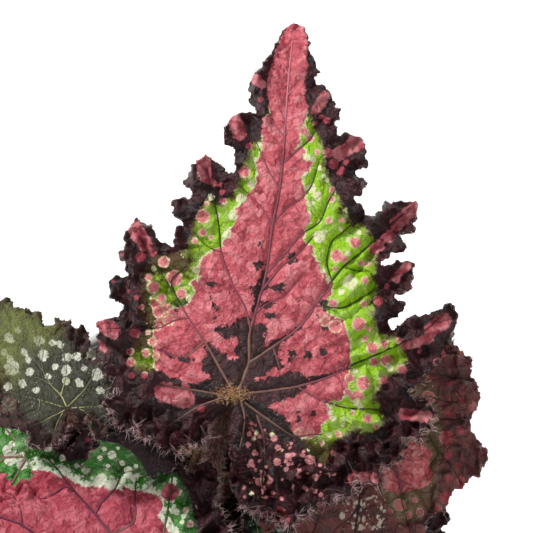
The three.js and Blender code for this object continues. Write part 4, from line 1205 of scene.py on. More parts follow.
def cut_grid(name, line, gap):
    """A flat grid trimmed to an outline, with its border moved onto the line."""
    low, high = line.min(axis=0) - gap, line.max(axis=0) + gap
    columns, rows = (math.ceil(span / gap) for span in high - low)
    bare()
    bpy.ops.mesh.primitive_grid_add(x_subdivisions=columns, y_subdivisions=rows, size=1)
    obj = named(name)
    across, up = (low[k] + gap * np.arange(count + 1) for k, count in ((0, columns), (1, rows)))
    places = np.stack([*np.meshgrid(across, up), np.zeros((rows + 1, columns + 1))], axis=-1)
    places = places.reshape(-1, 3)
    within = signed_distance(places[:, 0], places[:, 1], line.tolist())
    reach = 0.6 * gap  # points this near the line are moved onto it
    near = np.abs(within) < reach
    places[near, :2] = nearest_on_line(places[near, :2], line)
    move_points(obj, places)
    remove_points(obj, within < -reach)
    for _ in range(4):  # corners that touch only at a point
        used = np.zeros(len(obj.data.edges), int)
        loops = np.zeros(len(obj.data.loops), int)
        obj.data.loops.foreach_get("edge_index", loops)
        np.add.at(used, loops, 1)
        ends = np.zeros(len(obj.data.edges) * 2, int)
        obj.data.edges.foreach_get("vertices", ends)
        count = np.bincount(ends.reshape(-1, 2)[used == 1].ravel(),
                            minlength=len(obj.data.vertices))
        bare_edges = np.bincount(ends, minlength=len(obj.data.vertices))
        remove_points(obj, (count > 2) | (bare_edges == 0))
    return obj


def remove_points(obj, doomed):
    """Deletes the points that are marked, with their edges and faces."""
    obj.data.vertices.foreach_set("select", doomed)
    obj.data.edges.foreach_set("select", np.zeros(len(obj.data.edges), bool))
    obj.data.polygons.foreach_set("select", np.zeros(len(obj.data.polygons), bool))
    take(obj)
    bpy.ops.object.mode_set(mode="EDIT")
    bpy.ops.mesh.select_mode(type="VERT")
    bpy.ops.mesh.delete(type="VERT")
    bpy.ops.object.mode_set(mode="OBJECT")


def nearest_on_line(points, line):
    """The nearest place on a closed line to each point."""
    best, found = np.full(len(points), np.inf), points.copy()
    for a, b in zip(line, np.roll(line, -1, axis=0)):
        span = b - a
        h = np.clip((points - a) @ span / max(span @ span, 1e-9), 0, 1)
        place = a + h[:, None] * span
        distance = np.linalg.norm(points - place, axis=1)
        closer = distance < best
        best[closer], found[closer] = distance[closer], place[closer]
    return found


def way_round(leaf, x, y):
    """Which way round the edge the rib's line through each point runs."""
    edge, starts, _ = outline(dict(leaf, lobes=0))
    along = outline(leaf)[2]
    foot = curve_points(MIDRIB, starts * (len(MIDRIB) - 1))
    shares = (0, 0.4, 0.8, 1.2, 1.7)
    fan = np.stack([foot + (edge - foot) * share for share in shares])
    fan = np.concatenate([fan, 0 * fan[..., :1]], axis=-1).reshape(-1, 3)
    count = len(edge)
    triangles = []
    for row in range(len(shares) - 1):
        for k in range(count - 1):
            a, b, c, d = (row * count + k, row * count + k + 1, (row + 1) * count + k + 1,
                          (row + 1) * count + k)
            triangles += [(a, b, c), (a, c, d)]
    tree = BVHTree.FromPolygons(fan.tolist(), triangles)
    found = [tree.find_nearest((a, b, 0))[2] for a, b in zip(x.tolist(), y.tolist())]
    corners = np.array(triangles)[found]
    a, b, c = (fan[corners[:, k], :2] for k in range(3))
    p = np.stack([x, y], axis=1)

    def area(u, v):
        return u[:, 0] * v[:, 1] - u[:, 1] * v[:, 0]

    whole = area(b - a, c - a)
    whole = np.where(np.abs(whole) < 1e-9, 1e-9, whole)
    weight_b = np.clip(area(p - a, c - a) / whole, 0, 1)
    weight_c = np.clip(area(b - a, p - a) / whole, 0, 1)
    values = np.tile(along, len(shares))[corners]
    weight_a = np.clip(1 - weight_b - weight_c, 0, 1)
    total = weight_a + weight_b + weight_c
    return (values[:, 0] * weight_a + values[:, 1] * weight_b + values[:, 2] * weight_c) / total


class Blade:
    """One leaf's outline, and what lies at any place on its pattern."""

    def __init__(self, leaf, settings):
        self.leaf, self.settings = leaf, settings
        self.sheet = Sheet(leaf)
        self.unit = self.sheet.unit
        self.rim = rim_line(leaf)
        self.rib = curve_points(MIDRIB, np.linspace(0, 0.95 * (len(MIDRIB) - 1), 40)).tolist()
        self.strewn = None

    def surface(self, x, y):
        """Points in mm, and the drawn fields, at these places of the pattern."""
        to_rib = line_distance(x, y, self.rib)
        to_edge = line_distance(x, y, self.rim.tolist(), closed=True)
        length = to_rib + to_edge
        t = to_rib / np.maximum(length, 1e-6)
        round_edge = way_round(self.leaf, x, y)
        vein = np.minimum.reduce([line_distance(x, y, line) for _, line in RIBS])
        offset, puff = surface_offset(self, x, y, t, round_edge, vein)
        points = self.sheet.point(x, y, offset)
        px, py = photo_place(points)
        fields = draw(self, x, y, t, length, round_edge, px, py)
        fields.update(pattern=np.stack([x, y, 0 * x + 7.7 * self.leaf["seed"]], axis=-1),
                      vein=vein, reach=np.hypot(x, y), puff=puff,
                      charcoal=charcoal_field(self.leaf, x, y))
        return points, fields

    def spots(self, look, rng):
        """Spots strewn over part of the way from rib to edge: the ringed and the cream ones."""
        if self.strewn is None:
            low, high = self.rim.min(axis=0), self.rim.max(axis=0)
            tries = rng.uniform(low, high, (look["spots"] * 30, 2))
            to_rib = line_distance(tries[:, 0], tries[:, 1], self.rib)
            to_edge = signed_distance(tries[:, 0], tries[:, 1], self.rim.tolist())
            share = to_rib / np.maximum(to_rib + np.abs(to_edge), 1e-6)
            found, self.strewn = [], ([], [])
            for place, t, depth in zip(tries.tolist(), share, to_edge):
                radius = look["spot_sizes"][0] + np.ptp(look["spot_sizes"]) * rng.random() ** 2.2
                if depth < 0 or not look["spot_band"][0] < t < look["spot_band"][1]:
                    continue
                if any(math.dist(place, s[:2]) < 0.8 * (radius + s[2]) for s in found):
                    continue
                found.append((*place, radius))
                self.strewn[rng.random() < look["creams"]].append(found[-1])
                if len(found) == look["spots"]:
                    break
        return self.strewn


def charcoal_field(leaf, x, y):
    """How far inside the dark by the ribs each point is."""
    if leaf.get("detail"):
        return np.maximum.reduce([signed_distance(x, y, line) for line in CHARCOAL])
    main = np.minimum.reduce([line_distance(x, y, line) for width, line in RIBS if width > 1])
    reach = np.hypot(x, y)
    return np.interp(reach, [0, 30, 60, 100, 150, 220], [15, 12, 8, 4, 1, -3]) - main


def surface_offset(blade, x, y, t, round_edge, vein):
    """How far the surface stands off its plain sheet, in mm: ruffles, puckers and crinkles."""
    leaf, seed = blade.leaf, blade.leaf["seed"]
    wave = sum(share * np.sin(round_edge * blade.unit / length + phase * seed)
               for length, share, phase in BLADE["ruffles"])
    # the solid's ruffles run straight from row to row of its points, and these follow them
    rings = ([0, 0.468, 1], [0, 0.52, 1]) if seed in LOW_SEEDS else \
        ([0, 0.324, 0.648, 1], [0, 0.36, 0.72, 1])
    ruffle = leaf["wave"] * wave * smoothstep(BLADE["ruffle_from"], 1, np.interp(t, *rings))
    ruffle = ruffle * smoothstep(0, 40, np.hypot(x, y))
    scale = min(1, leaf["length"] / 95)
    warp_x = x + 4 * lumps(x, y, 13, seed + 5)
    warp_y = y + 4 * lumps(x, y, 13, seed + 6)
    puff = domes(warp_x, warp_y, 11, seed) * (1 - np.exp(-vein / 3))
    swell = (1 - np.exp(-vein / 7)) * smoothstep(1, 0.8, t)
    pucker = blade.settings.pucker / MM * scale * smoothstep(0, 0.06, t)
    crumple = 1.5 * folds(warp_x, warp_y, 17, seed) + 0.8 * folds(warp_x, warp_y, 8, seed + 1)
    near = smoothstep(6, 45, np.hypot(x, y))
    margin = smoothstep(0.55, 0.9, t) * scale * near
    loose = margin * (1.1 + 1.5 * smoothstep(10, -60, y))
    rim_curl = smoothstep(0.88, 1, t) * (1.3 * lumps(x, y, 9, seed + 2) - 0.7)
    bulge = domes(x + 3 * lumps(x, y, 9, seed), y, 24, seed + 9) * (1 - np.exp(-vein / 5))
    relief = pucker * (0.9 * swell + 1.5 * puff + 1.6 * bulge)
    return ruffle + relief + loose * crumple + scale * rim_curl, puff


def lobe_tips(leaf):
    """The outermost points of the edge's lobes, each with a point further in."""
    edge, middle = outline(leaf)[0], outline(dict(leaf, lobes=0))[0]
    out = signed_distance(edge[:, 0], edge[:, 1], middle.tolist())
    tips = [k for k in range(2, len(edge) - 2)
            if out[k] < -4 and out[k] == out[k - 2:k + 3].min()]
    return [(edge[k] * 0.94 + middle[k] * 0.06, edge[k] * 0.35 + middle[k] * 0.65) for k in tips]


def blotches(x, y, strokes):
    """How far inside the nearest of some strokes each point is."""
    best = np.full(x.shape, -FAR)
    for start, end, radius in strokes:
        best = np.maximum(best, radius - line_distance(x, y, [start, end]))
    return best


def draw_large(x, y):
    """The zones of the large leaf, as they are traced."""
    strokes = [((ax, ay), *drawn([(bx, by)]), radius + 1) for ax, ay, bx, by, radius in BLOTCHES]
    return dict(heart=signed_distance(x, y, HEART), band=signed_distance(x, y, BAND),
                spots=spot_distance(x, y, SPOTS + SPECKS),
                creams=spot_distance(x, y, CREAMS + SPECKS[::7]),
                blotch=blotches(x, y, strokes),
                flush=np.maximum.reduce([signed_distance(x, y, line) for line in SHADED]))


def draw(blade, x, y, t, length, round_edge, px, py):
    """The drawn zones, as distances inside each one, in the pattern's units."""
    leaf = blade.leaf
    look = LOOKS[leaf["look"]]
    if leaf.get("detail"):
        return draw_large(x, y)
    rng = np.random.default_rng(100 + leaf["seed"])
    drift = 0.07 * lumps(round_edge, 0 * round_edge, 34, leaf["seed"])
    drift += 0.03 * lumps(x, y, 16, leaf["seed"] + 3)
    heart = (look["heart"] + drift - t) * length if look["heart"] else 0 * x - FAR
    heart = np.minimum(heart, 30 + y * 0.25 + 12 * drift)
    band = (look["band"] + drift * 0.6 - t) * length
    round_spots, creams = blade.spots(look, rng)
    strokes = [(tip * 0.6 + inner * 0.4, inner, rng.uniform(2.5, 6))
               for tip, inner in lobe_tips(leaf)]
    fields = dict(heart=heart, band=band, spots=spot_distance(x, y, round_spots),
                  creams=spot_distance(x, y, creams), blotch=blotches(x, y, strokes),
                  flush=0 * x - 60)
    if leaf["name"] in SEEN:
        draw_seen(fields, SEEN[leaf["name"]], px, py, blade.unit)
    return fields


def draw_seen(fields, seen, px, py, unit):
    """Puts what the photograph shows of a leaf over its fields, inside the frame."""
    to_units = 1 / PIXEL / unit * 0.99  # these leaves lie a little nearer than the target
    wide = CAMERA["frame"]
    framed = smoothstep(-14, 4, np.minimum(np.minimum(px, wide - px), wide - py))
    for key, shapes in seen.items():
        if key == "also":
            continue
        if key in ("heart", "band"):
            near = signed_distance(px, py, shapes) * to_units
            fields[key] = fields[key] * (1 - framed) + near * framed
        else:
            near = spot_distance(px, py, shapes) * to_units
            near = near * framed - FAR * (1 - framed)
            outer = fields[key]
            if not (key == "creams" and seen.get("also")):
                outer = outer * (1 - framed) - FAR * framed
            fields[key] = np.maximum(outer, near)


def photo_place(points):
    """The photograph's pixel at which each point in space is seen."""
    tilt = math.radians(CAMERA["elevation"])
    ahead = np.array([0, math.cos(tilt), -math.sin(tilt)])
    up = np.array([0, math.sin(tilt), math.cos(tilt)])
    from_eye = points - (np.array(CAMERA["target"]) - ahead * CAMERA["distance"])
    depth = from_eye @ ahead
    half = CAMERA["frame"] / 2
    return (half + CAMERA["focal"] * from_eye[..., 0] / depth,
            half - CAMERA["focal"] * (from_eye @ up) / depth)


def mesh_tree(obj):
    """The mesh as a tree that rays can be cast at, in mm."""
    return BVHTree.FromPolygons([v.co / MM for v in obj.data.vertices],
                                [tuple(p.vertices) for p in obj.data.polygons])


def make_blade(blade):
    """Cuts the blade to its outline, bends it and gives it thickness."""
    leaf, settings = blade.leaf, blade.settings
    gap = leaf.get("gap", BLADE_GAP) / blade.unit
    obj = cut_grid(leaf["name"] + "_blade", blade.rim, gap)
    flat = points_of(obj)
    points, fields = blade.surface(flat[:, 0].copy(), flat[:, 1].copy())
    move_points(obj, points * MM)
    add_fields(obj, fields)
    drop_maps(obj)
    if leaf.get("mirror"):
        edit(obj, lambda: bpy.ops.mesh.flip_normals())
    tree = mesh_tree(obj)
    apply_modifier(obj, "SOLIDIFY", thickness=settings.sheet, offset=-1, material_offset=1,
                   material_offset_rim=0)
    smooth(obj)
    colours = getattr(settings, leaf["look"])
    obj.data.materials.append(leaf_top(leaf["name"] + "_top", LOOKS[leaf["look"]], colours))
    obj.data.materials.append(leaf_under(leaf["name"] + "_under", colours))
    add_piece(obj, "leaf_blade", leaf["name"])
    return tree, points, fields


def tube_piece(name, lines, sides):
    """Tapered tubes along lines of points, each with a radius, in mm."""
    bare()
    bpy.ops.curve.primitive_nurbs_path_add()
    obj = named(name)
    curve = obj.data
    curve.splines.clear()
    curve.dimensions = "3D"
    curve.bevel_depth = MM
    curve.bevel_resolution = sides
    curve.use_fill_caps = True
    for points, radii in lines:
        spline = curve.splines.new("POLY")
        spline.points.add(len(points) - 1)
        for knot, point, radius in zip(spline.points, points, radii):
            knot.co = (*(Vector(point) * MM), 1)
            knot.radius = radius
    take(obj)
    bpy.ops.object.convert(target="MESH")
    drop_maps(obj)
    smooth(obj)
    return obj


def make_ribs(blade, tree, points, fields, material):
    """The ribs, raised a little above the blade and more below it."""
    leaf, sheet = blade.leaf, blade.sheet
    size = min(1, leaf["length"] / 110) * {"moss": 0.7, "meadow": 1.35}.get(leaf["look"], 1)
    lines = []
    for width, line in RIBS + (BASAL_RIBS if leaf.get("detail") else []):
        count = max(6, int(sum(math.dist(a, b) for a, b in zip(line, line[1:])) / 4))
        flat_line = curve_points(line, np.linspace(0, len(line) - 1, count))
        high = sheet.point(flat_line[:, 0], flat_line[:, 1], np.full(count, RAY_HEIGHT))
        knots, radii = [], []
        for k, origin in enumerate(high):
            hit = tree.ray_cast(Vector(origin), Vector(-sheet.normal))[0]
            if hit is None:
                break
            radius = size * width * (0.5 - 0.32 * k / count) * (0.9 + 0.1 * math.sin(k))
            stand = size * (0.42 - 0.2 * k / count) * min(1, width)
            knots.append(np.array(hit) - sheet.normal * (radius - stand))
            radii.append(radius)
        if len(knots) > 2:
            radii[-1] *= 0.4
            lines.append((knots, radii))
    obj = tube_piece(leaf["name"] + "_ribs", lines, 2)
    nearest = KDTree(len(points))
    for k, point in enumerate(points):
        nearest.insert(point, k)
    nearest.balance()
    found = [nearest.find(v.co / MM)[1] for v in obj.data.vertices]
    add_fields(obj, {key: fields[key][found] for key in ("heart", "band", "pattern", "reach")})
    obj.data.materials.append(material)
    add_piece(obj, "leaf_blade")


def make_edge_hairs(blade, model, material):
    """Short curved hairs along the edge, longer and denser round the open base."""
    leaf, settings, sheet = blade.leaf, blade.settings, blade.sheet
    rng = np.random.default_rng(300 + leaf["seed"])
    line = blade.rim[5:]  # without the inside of the open base
    rim = blade.surface(line[:, 0], line[:, 1])[0]
    lengths = np.linalg.norm(np.diff(rim, axis=0), axis=1)
    base = smoothstep(60, -60, line[:-1, 1])
    thick = lengths * (1 + 1.6 * base)
    size = min(1, leaf["length"] / 90)
    along = np.concatenate([[0], np.cumsum(thick)])
    count = int(along[-1] / (settings.hair_step / MM) * 0.36)
    at = np.interp(np.sort(rng.uniform(0, along[-1], count)), along, range(len(rim)))
    k = np.clip(at.astype(int), 0, len(rim) - 2)
    f = (at - k)[:, None]
    roots = rim[k] * (1 - f) + rim[k + 1] * f
    run = rim[k + 1] - rim[k]
    out = np.cross(run, sheet.normal) * sheet.side
    out /= np.maximum(np.linalg.norm(out, axis=1, keepdims=True), 1e-6)
    up = rng.normal(0.9, 0.7, count)[:, None]
    sideways = np.cross(out, sheet.normal) * rng.normal(0, 0.6, count)[:, None]
    axes = out + sheet.normal * up + sideways
    hair_lengths = settings.hair / MM * size * rng.uniform(0.45, 1.3, count) * (1 + 0.9 * base[k])
    roots = roots - out * 0.25 - sheet.normal * settings.sheet / MM * 0.4
    obj = copies(leaf["name"] + "_hairs", model, roots, axes, np.full(count, HAIR["edge"]),
                 hair_lengths, bends=hair_lengths * rng.normal(0, 0.75, count),
                 fields={"tint": rng.random(count)}, turns=rng.uniform(0, HAIR_TURN, count))
    obj.data.materials.append(material)
    add_piece(obj, "leaf_blade")


def surface_hairs(name, blade, tree, model, x, y, lengths, rng, material, lean=0.6):
    """Hairs on the blade at these places of its pattern."""
    sheet = blade.sheet
    high = sheet.point(x, y, np.full(len(x), RAY_HEIGHT))
    hits = [tree.ray_cast(Vector(origin), Vector(-sheet.normal))[0] for origin in high]
    kept = [k for k, hit in enumerate(hits) if hit is not None]
    roots = np.array([hits[k] for k in kept])
    number = len(kept)
    axes = (sheet.normal * rng.uniform(0.3, 1, number)[:, None]
            + rng.normal(0, lean, (number, 3)))
    obj = copies(name, model, roots, axes, np.full(number, HAIR["blade"]), lengths[kept],
                 bends=lengths[kept] * rng.normal(0, 0.5, number),
                 fields={"tint": rng.random(number)}, turns=rng.uniform(0, HAIR_TURN, number))
    obj.data.materials.append(material)
    add_piece(obj, "leaf_blade")


def make_tuft(blade, tree, model, pale):
    """The golden fuzz where the large leaf's stalk meets its blade, and the odd long hairs."""
    rng = np.random.default_rng(77)
    count = 460
    gold = hair_material("tuft", colour(206, 140, 82), colour(255, 238, 196))
    surface_hairs("navel_tuft", blade, tree, model, rng.normal(-5, 8, count),
                  rng.normal(-2, 4, count), rng.uniform(0.6, 2.6, count), rng, gold)
    sources = drawn([(333, 403), (310, 436), (342, 368), (318, 434), (326, 404)])
    count = 90
    x, y = np.array(sources)[rng.integers(len(sources), size=count)].T
    x, y = x + rng.normal(0, 6, count), y + rng.normal(0, 2.5, count)
    surface_hairs("long_hairs", blade, tree, model, x, y, rng.uniform(1.5, 4, count), rng, pale,
                  0.9)


# ---------------- stalks


def stalk_path(leaf):
    """The stalk's line, from the rootstock to under its blade."""
    sheet = Sheet(leaf)
    angle = math.radians(leaf["stalk_from"]) if "stalk_from" in leaf else \
        math.atan2(leaf["at"][1], leaf["at"][0])
    out = np.array([math.cos(angle), math.sin(angle), 0])
    start = out * CROWN["stalk_circle"] + [0, 0, CROWN["stalk_start"]]
    up = sheet.normal - sheet.ahead * leaf["fall"] * 0.5
    up /= np.linalg.norm(up)
    end = sheet.at - up * (BLADE["thickness"] + BLADE["seat"])
    neck = end - up * STALK["neck"] - out * STALK["neck_in"]

    def between(share):
        point = start + (neck - start) * share[0]
        point[2] = start[2] + share[1] * (neck[2] - start[2])
        return point

    low, middle = between(STALK["low"]), between(STALK["middle"])
    if "stalk_via" in leaf:
        middle[:2] = leaf["stalk_via"]
    return curve_points([start, low, middle, neck, end], np.linspace(0, 4, 33))


def make_stalks(settings, model):
    """The stalks and their rootstock in one piece, and the hairs on the stalks."""
    paths = [stalk_path(leaf) for leaf in LEAVES]
    radii = []
    for path, leaf in zip(paths, LEAVES):
        size = 0.55 + 0.45 * min(1, leaf["length"] / 100)
        swell = 1 + 0.05 * np.sin(np.arange(len(path)) * 1.7 + leaf["seed"])
        radii.append(np.linspace(STALK["base"], STALK["tip"], len(path)) * size * swell)
    tubes = tube_piece("stalks", zip(paths, radii), 5)
    join(tubes, make_rootstock())
    tubes.data.materials.clear()
    tubes.data.materials.append(stalk_material(settings))
    smooth(tubes)
    add_piece(tubes, "stalk", "crown_and_stalks")
    make_stalk_hairs(settings, paths, radii, model)


def make_rootstock():
    """Knobbly rootstock: squashed balls and a stub, fused, roughened and smoothed."""
    parts = []
    for x, y, z, radius in CROWN["lumps"]:
        bare()
        bpy.ops.mesh.primitive_ico_sphere_add(subdivisions=4, radius=radius * MM,
                                              location=(x * MM, y * MM, z * MM))
        bpy.context.object.scale = (1, 1, CROWN["flat"])
        bpy.ops.object.transform_apply(location=True, scale=True)
        parts.append(bpy.context.object)
    bare()
    low, high = CROWN["low"], CROWN["shoulder"]
    bpy.ops.mesh.primitive_cylinder_add(vertices=48, radius=(CROWN["radius"] - 0.4) * MM,
                                        depth=(high - low) * MM,
                                        location=(0, 0, (low + high) / 2 * MM))
    bpy.ops.object.transform_apply(location=True)
    join(*parts, bpy.context.object)
    crown = named("rootstock")
    apply_modifier(crown, "REMESH", mode="VOXEL", voxel_size=0.9 * MM)
    apply_modifier(crown, "SMOOTH", factor=0.5, iterations=4)
    points = points_of(crown) / MM
    out = points - [0, 0, CROWN["middle"]]
    out /= np.linalg.norm(out, axis=1, keepdims=True)
    rough = CROWN["bark"] * (lumps(points[:, 0] + points[:, 2], points[:, 1], 2.2, 4) - 1)
    move_points(crown, (points + out * rough[:, None]) * MM)
    return crown


def make_stalk_hairs(settings, paths, radii, model):
    rng = np.random.default_rng(41)
    roots, axes, lengths = [], [], []
    for path, radius, leaf in zip(paths, radii, LEAVES):
        fuzz = leaf.get("fuzz", 1)
        number = int(settings.stalk_hairs * (1 if leaf["length"] > 50 else 0.4) * fuzz)
        at = rng.uniform(2, len(path) - 1.01, number)
        k = at.astype(int)
        f = (at - k)[:, None]
        centre = path[k] * (1 - f) + path[k + 1] * f
        tangent = path[k + 1] - path[k]
        tangent /= np.linalg.norm(tangent, axis=1, keepdims=True)
        around = np.cross(tangent, rng.normal(0, 1, (number, 3)))
        around /= np.linalg.norm(around, axis=1, keepdims=True)
        roots.append(centre + around * (radius[k] - 0.1)[:, None])
        axes.append(around + tangent * rng.normal(-0.1, 0.7, number)[:, None])
        lengths.append(rng.uniform(1.0, 2.9, number) * (0.9 + 0.1 * fuzz))
    roots, axes, lengths = np.vstack(roots), np.vstack(axes), np.concatenate(lengths)
    count = len(lengths)
    obj = copies("stalk_hairs", model, roots, axes, np.full(count, HAIR["stalk"]), lengths,
                 bends=lengths * rng.normal(0, 0.7, count), fields={"tint": rng.random(count)},
                 turns=rng.uniform(0, HAIR_TURN, count))
    obj.data.materials.append(hair_material("stalk_hairs", colour(150, 102, 88),
                                            colour(255, 236, 222)))
    add_piece(obj, "stalk")


# ---------------- operators


class BEGONIA_OT_pot(bpy.types.Operator):
    """Turns the plain pot with its rim band, foot groove and drain holes"""

    bl_idname = "begonia.pot"
    bl_label = "Pot"

    def execute(self, context):
        settings = context.scene.begonia
        obj = turned_piece("pot_shell", self.profile(), 128)
        bare()
        for k in range(POT["drain_count"]):
            angle = (k + 0.5) * 2 * math.pi / POT["drain_count"]
            place = (POT["drain_circle"] * math.cos(angle) * MM,
                     POT["drain_circle"] * math.sin(angle) * MM, POT["floor"] / 2 * MM)
            bpy.ops.mesh.primitive_cylinder_add(vertices=32, radius=POT["drain_radius"] * MM,
                                                depth=3 * POT["floor"] * MM, location=place)
            drill = bpy.context.object
            apply_modifier(obj, "BOOLEAN", operation="DIFFERENCE", object=drill, solver="EXACT")
            drop(drill)
        smooth(obj, 35)
        obj.data.materials.clear()
        obj.data.materials.append(pot_material(settings))
        add_piece(obj, "pot_plastic", "pot")
        return {"FINISHED"}

    def profile(self):
        """Radius and height, from the middle of the base, up the outside and down the inside."""
        height, base, rim, lip = POT["height"], POT["base"], POT["rim"], POT["lip"]
        band_low = height - POT["band_height"]
        band = base + (rim - base) * band_low / height
        groove_out, groove_in = base - POT["groove_out"], base - POT["groove_in"]
        slope, deep, depth = POT["groove_slope"], POT["groove_depth"], POT["band_depth"]
        inner = band - depth - POT["wall"]
        points = [(0, 0), (groove_in, 0), (groove_in + slope * 0.4, deep * 0.5),
                  (groove_in + slope, deep), (groove_out - slope, deep),
                  (groove_out - slope * 0.4, deep * 0.5), (groove_out, 0), (base - 2, 0)]
        points += self.arc(base - 2, 2, 2, -90, 0, 5)
        points += [(band - depth - 0.5, band_low - 3), (band - depth, band_low - 1.6),
                   (band - depth + 0.5, band_low - 0.7), (band - 0.6, band_low - 0.3),
                   (band, band_low + 0.5), (band + 0.15, band_low + 1.5)]
        points += [(rim - 0.4, height - POT["lip_round"] - 1)]
        points += self.arc(rim - lip / 2, height - lip / 2, lip / 2, 0, 180, 12)
        points += [(rim - lip - 0.3, height - 5), (inner + 1.6, band_low + 3),
                   (inner, band_low - 3), (base - POT["wall"] + 0.8, POT["floor"] + 3),
                   (base - POT["wall"] - 0.4, POT["floor"] + 0.8),
                   (base - POT["wall"] - 2, POT["floor"]), (0, POT["floor"])]
        return points

    def arc(self, x, z, radius, start, end, count):
        angles = np.radians(np.linspace(start, end, count))
        return [(x + radius * math.cos(a), z + radius * math.sin(a)) for a in angles]


class BEGONIA_OT_soil(bpy.types.Operator):
    """Fills the pot with lumpy soil and strews crumbs, bark and white grains on it"""

    bl_idname = "begonia.soil"
    bl_label = "Soil"

    def execute(self, context):
        settings = context.scene.begonia
        rng = np.random.default_rng(9)
        inner, low = SOIL["edge"], SOIL["bottom"]
        bottom = POT["base"] - POT["wall"] + SOIL["foot"] - SOIL["gap"]
        profile = [(0, low), (bottom - 1, low), (bottom, low + 1),
                   (inner + 0.6, SOIL["top"] - SOIL["mound"] - 3)]
        profile += [(r, 0) for r in np.linspace(inner + 0.8, 0, 56)]  # the top, raised below
        obj = turned_piece("soil_bed", profile, 220)
        points = points_of(obj) / MM
        top = points[:, 2] < 1
        points[top, 2] = self.height(points[top, 0], points[top, 1])
        move_points(obj, points * MM)
        smooth(obj)
        obj.data.materials.append(soil_material(settings, "soil", colour(84, 62, 46),
                                                colour(24, 17, 13)))
        add_piece(obj, "potting_soil", "soil")
        bits = [("soil_crumbs", settings.crumbs, (0.5, 2.0), 0.75, colour(92, 66, 46)),
                ("bark_bits", settings.crumbs // 8, (1.2, 3.0), 0.35, colour(134, 92, 58)),
                ("white_grains", settings.crumbs // 9, (0.5, 1.2), 0.8, colour(222, 218, 208))]
        bare()
        bpy.ops.mesh.primitive_ico_sphere_add(subdivisions=2, radius=1)
        model = named("crumb_model")
        for vertex in model.data.vertices:
            wobble = 0.22 * math.sin(5 * vertex.co.x + 3 * vertex.co.y + 4 * vertex.co.z)
            vertex.co *= 1 + wobble
        for bit in bits:
            self.strew(settings, model, rng, *bit)
        drop(model)
        return {"FINISHED"}

    def strew(self, settings, model, rng, name, count, sizes, flat, tint):
        """Bits of one kind all over the soil, with more small ones than large."""
        angle = rng.uniform(0, 2 * math.pi, count)
        radius = np.sqrt(rng.uniform(SOIL["clear"] ** 2, (SOIL["edge"] - 1.5) ** 2, count))
        x, y = radius * np.cos(angle), radius * np.sin(angle)
        size = sizes[0] + (sizes[1] - sizes[0]) * rng.random(count) ** 2
        roots = np.stack([x, y, self.height(x, y) + size * flat * 0.25], axis=1)
        axes = rng.normal(0, 0.35, (count, 3)) + [0, 0, 1]
        piece = copies(name, model, roots, axes, size, size * flat,
                       turns=rng.uniform(0, HAIR_TURN, count))
        dark = tuple(0.4 * c for c in tint)
        piece.data.materials.append(soil_material(settings, name, tint, dark))
        add_piece(piece, "potting_soil")

    def height(self, x, y):
        radius, angle = np.hypot(x, y), np.arctan2(y, x)
        mound = SOIL["top"] - SOIL["mound"] + SOIL["mound"] * (1 - (radius / SOIL["level"]) ** 2)
        swell = 1.1 * np.sin(5 * angle + radius * 0.31) * np.cos(radius * 0.47 - 2 * angle)
        return (mound + swell * smoothstep(66, 60, radius) + 0.7 * lumps(x, y, 4, 1)
                + 0.5 * lumps(x, y, 1.9, 2) - 0.4)


class BEGONIA_OT_stalks(bpy.types.Operator):
    """Grows the rootstock and a hairy stalk to every leaf"""

    bl_idname = "begonia.stalks"
    bl_label = "Rootstock and stalks"

    def execute(self, context):
        model = hair_model()
        make_stalks(context.scene.begonia, model)
        drop(model)
        return {"FINISHED"}


class BEGONIA_OT_leaves(bpy.types.Operator):
    """Lays out every leaf blade with its ribs and its edge hairs"""

    bl_idname = "begonia.leaves"
    bl_label = "Leaves"

    def execute(self, context):
        settings = context.scene.begonia
        model = hair_model()
        ribs = {look: rib_material(settings, look) for look in LOOKS}
        hairs = hair_material("edge_hairs", colour(190, 146, 146), settings.hair_colour)
        for leaf in LEAVES:
            blade = Blade(leaf, settings)
            tree, points, fields = make_blade(blade)
            make_ribs(blade, tree, points, fields, ribs[leaf["look"]])
            make_edge_hairs(blade, model, hairs)
            if leaf.get("detail"):
                make_tuft(blade, tree, model, hairs)
        drop(model)
        return {"FINISHED"}


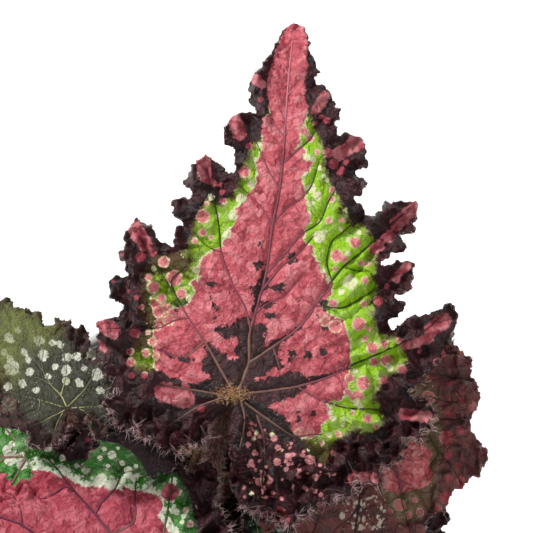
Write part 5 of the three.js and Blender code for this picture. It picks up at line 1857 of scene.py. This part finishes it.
class BEGONIA_OT_stage(bpy.types.Operator):
    """Sets the pale floor, the soft studio lights and the camera"""

    bl_idname = "begonia.stage"
    bl_label = "Stage"

    def execute(self, context):
        settings = context.scene.begonia
        bare()
        bpy.ops.mesh.primitive_grid_add(x_subdivisions=24, y_subdivisions=24, size=4,
                                        location=(0, 0, 0))
        floor = named("floor")
        for vertex in floor.data.vertices:  # its edges rise very slightly, as a studio sweep does
            vertex.co.z = 0.02 * max(0, math.hypot(vertex.co.x, vertex.co.y) - 1.2) ** 2
        floor.data.materials.append(floor_material(settings))
        smooth(floor)
        self.light("key", (-1.1, 0.9, 1.15), 0.3, 31)
        self.light("front", (0.7, -1.2, 1.2), 0.8, 9)
        self.light("top", (0.2, 0.1, 1.9), 1.4, 5)
        world = bpy.data.worlds.new("studio")
        world.use_nodes = True
        background = world.node_tree.nodes["Background"]
        background.inputs["Color"].default_value = (1, 1, 1, 1)
        background.inputs["Strength"].default_value = 0.24
        context.scene.world = world
        context.scene.view_settings.view_transform = "Standard"
        self.camera(context)
        return {"FINISHED"}

    def light(self, name, place, size, power):
        bare()
        bpy.ops.object.light_add(type="AREA", location=place)
        lamp = bpy.context.object
        lamp.name = lamp.data.name = name
        lamp.data.size = size
        lamp.data.energy = power
        aim = Vector((0, 0.02, 0.15)) - Vector(place)
        lamp.rotation_euler = aim.to_track_quat("-Z", "Y").to_euler()

    def camera(self, context):
        tilt = math.radians(CAMERA["elevation"])
        back = Vector((0, -math.cos(tilt), math.sin(tilt)))
        bare()
        place = (Vector(CAMERA["target"]) + back * CAMERA["distance"]) * MM
        bpy.ops.object.camera_add(location=place)
        camera = bpy.context.object
        camera.rotation_euler = (-back).to_track_quat("-Z", "Y").to_euler()
        camera.data.sensor_width = CAMERA["sensor"]
        camera.data.lens = CAMERA["sensor"] * CAMERA["focal"] / CAMERA["frame"]
        camera.data.clip_end = 20
        context.scene.camera = camera


class BEGONIA_PT_panel(bpy.types.Panel):
    """Lists the plant's pieces and settings"""

    bl_label = "Begonia"
    bl_space_type = "VIEW_3D"
    bl_region_type = "UI"
    bl_category = "Begonia"

    def draw(self, context):
        for operator in OPERATORS:
            self.layout.operator(operator.bl_idname)
        settings = context.scene.begonia
        for key in ("sheet", "pucker", "hair", "hair_step", "stalk_hairs", "crumbs", "hair_colour",
                    "stalk_colour", "rib_colour", "soil_colour", "pot_colour", "floor_colour"):
            self.layout.prop(settings, key)
        for look in LOOKS:
            box = self.layout.box()
            box.label(text=look.title())
            for key in PALETTES[look]:
                box.prop(getattr(settings, look), key)


OPERATORS = (BEGONIA_OT_stage, BEGONIA_OT_pot, BEGONIA_OT_soil, BEGONIA_OT_stalks,
             BEGONIA_OT_leaves)
CLASSES = (LeafColours, PlantSettings, *OPERATORS, BEGONIA_PT_panel)


def register():
    for cls in CLASSES:
        bpy.utils.register_class(cls)
    bpy.types.Scene.begonia = PointerProperty(type=PlantSettings)


def unregister():
    del bpy.types.Scene.begonia
    for cls in reversed(CLASSES):
        bpy.utils.unregister_class(cls)


def main():
    register()
    settings = bpy.context.scene.begonia
    for look, tones in PALETTES.items():
        for key, value in tones.items():
            setattr(getattr(settings, look), key, value)
    bpy.ops.begonia.stage()
    bpy.ops.begonia.pot()
    bpy.ops.begonia.soil()
    bpy.ops.begonia.stalks()
    bpy.ops.begonia.leaves()
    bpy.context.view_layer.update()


if __name__ == "__main__":
    main()
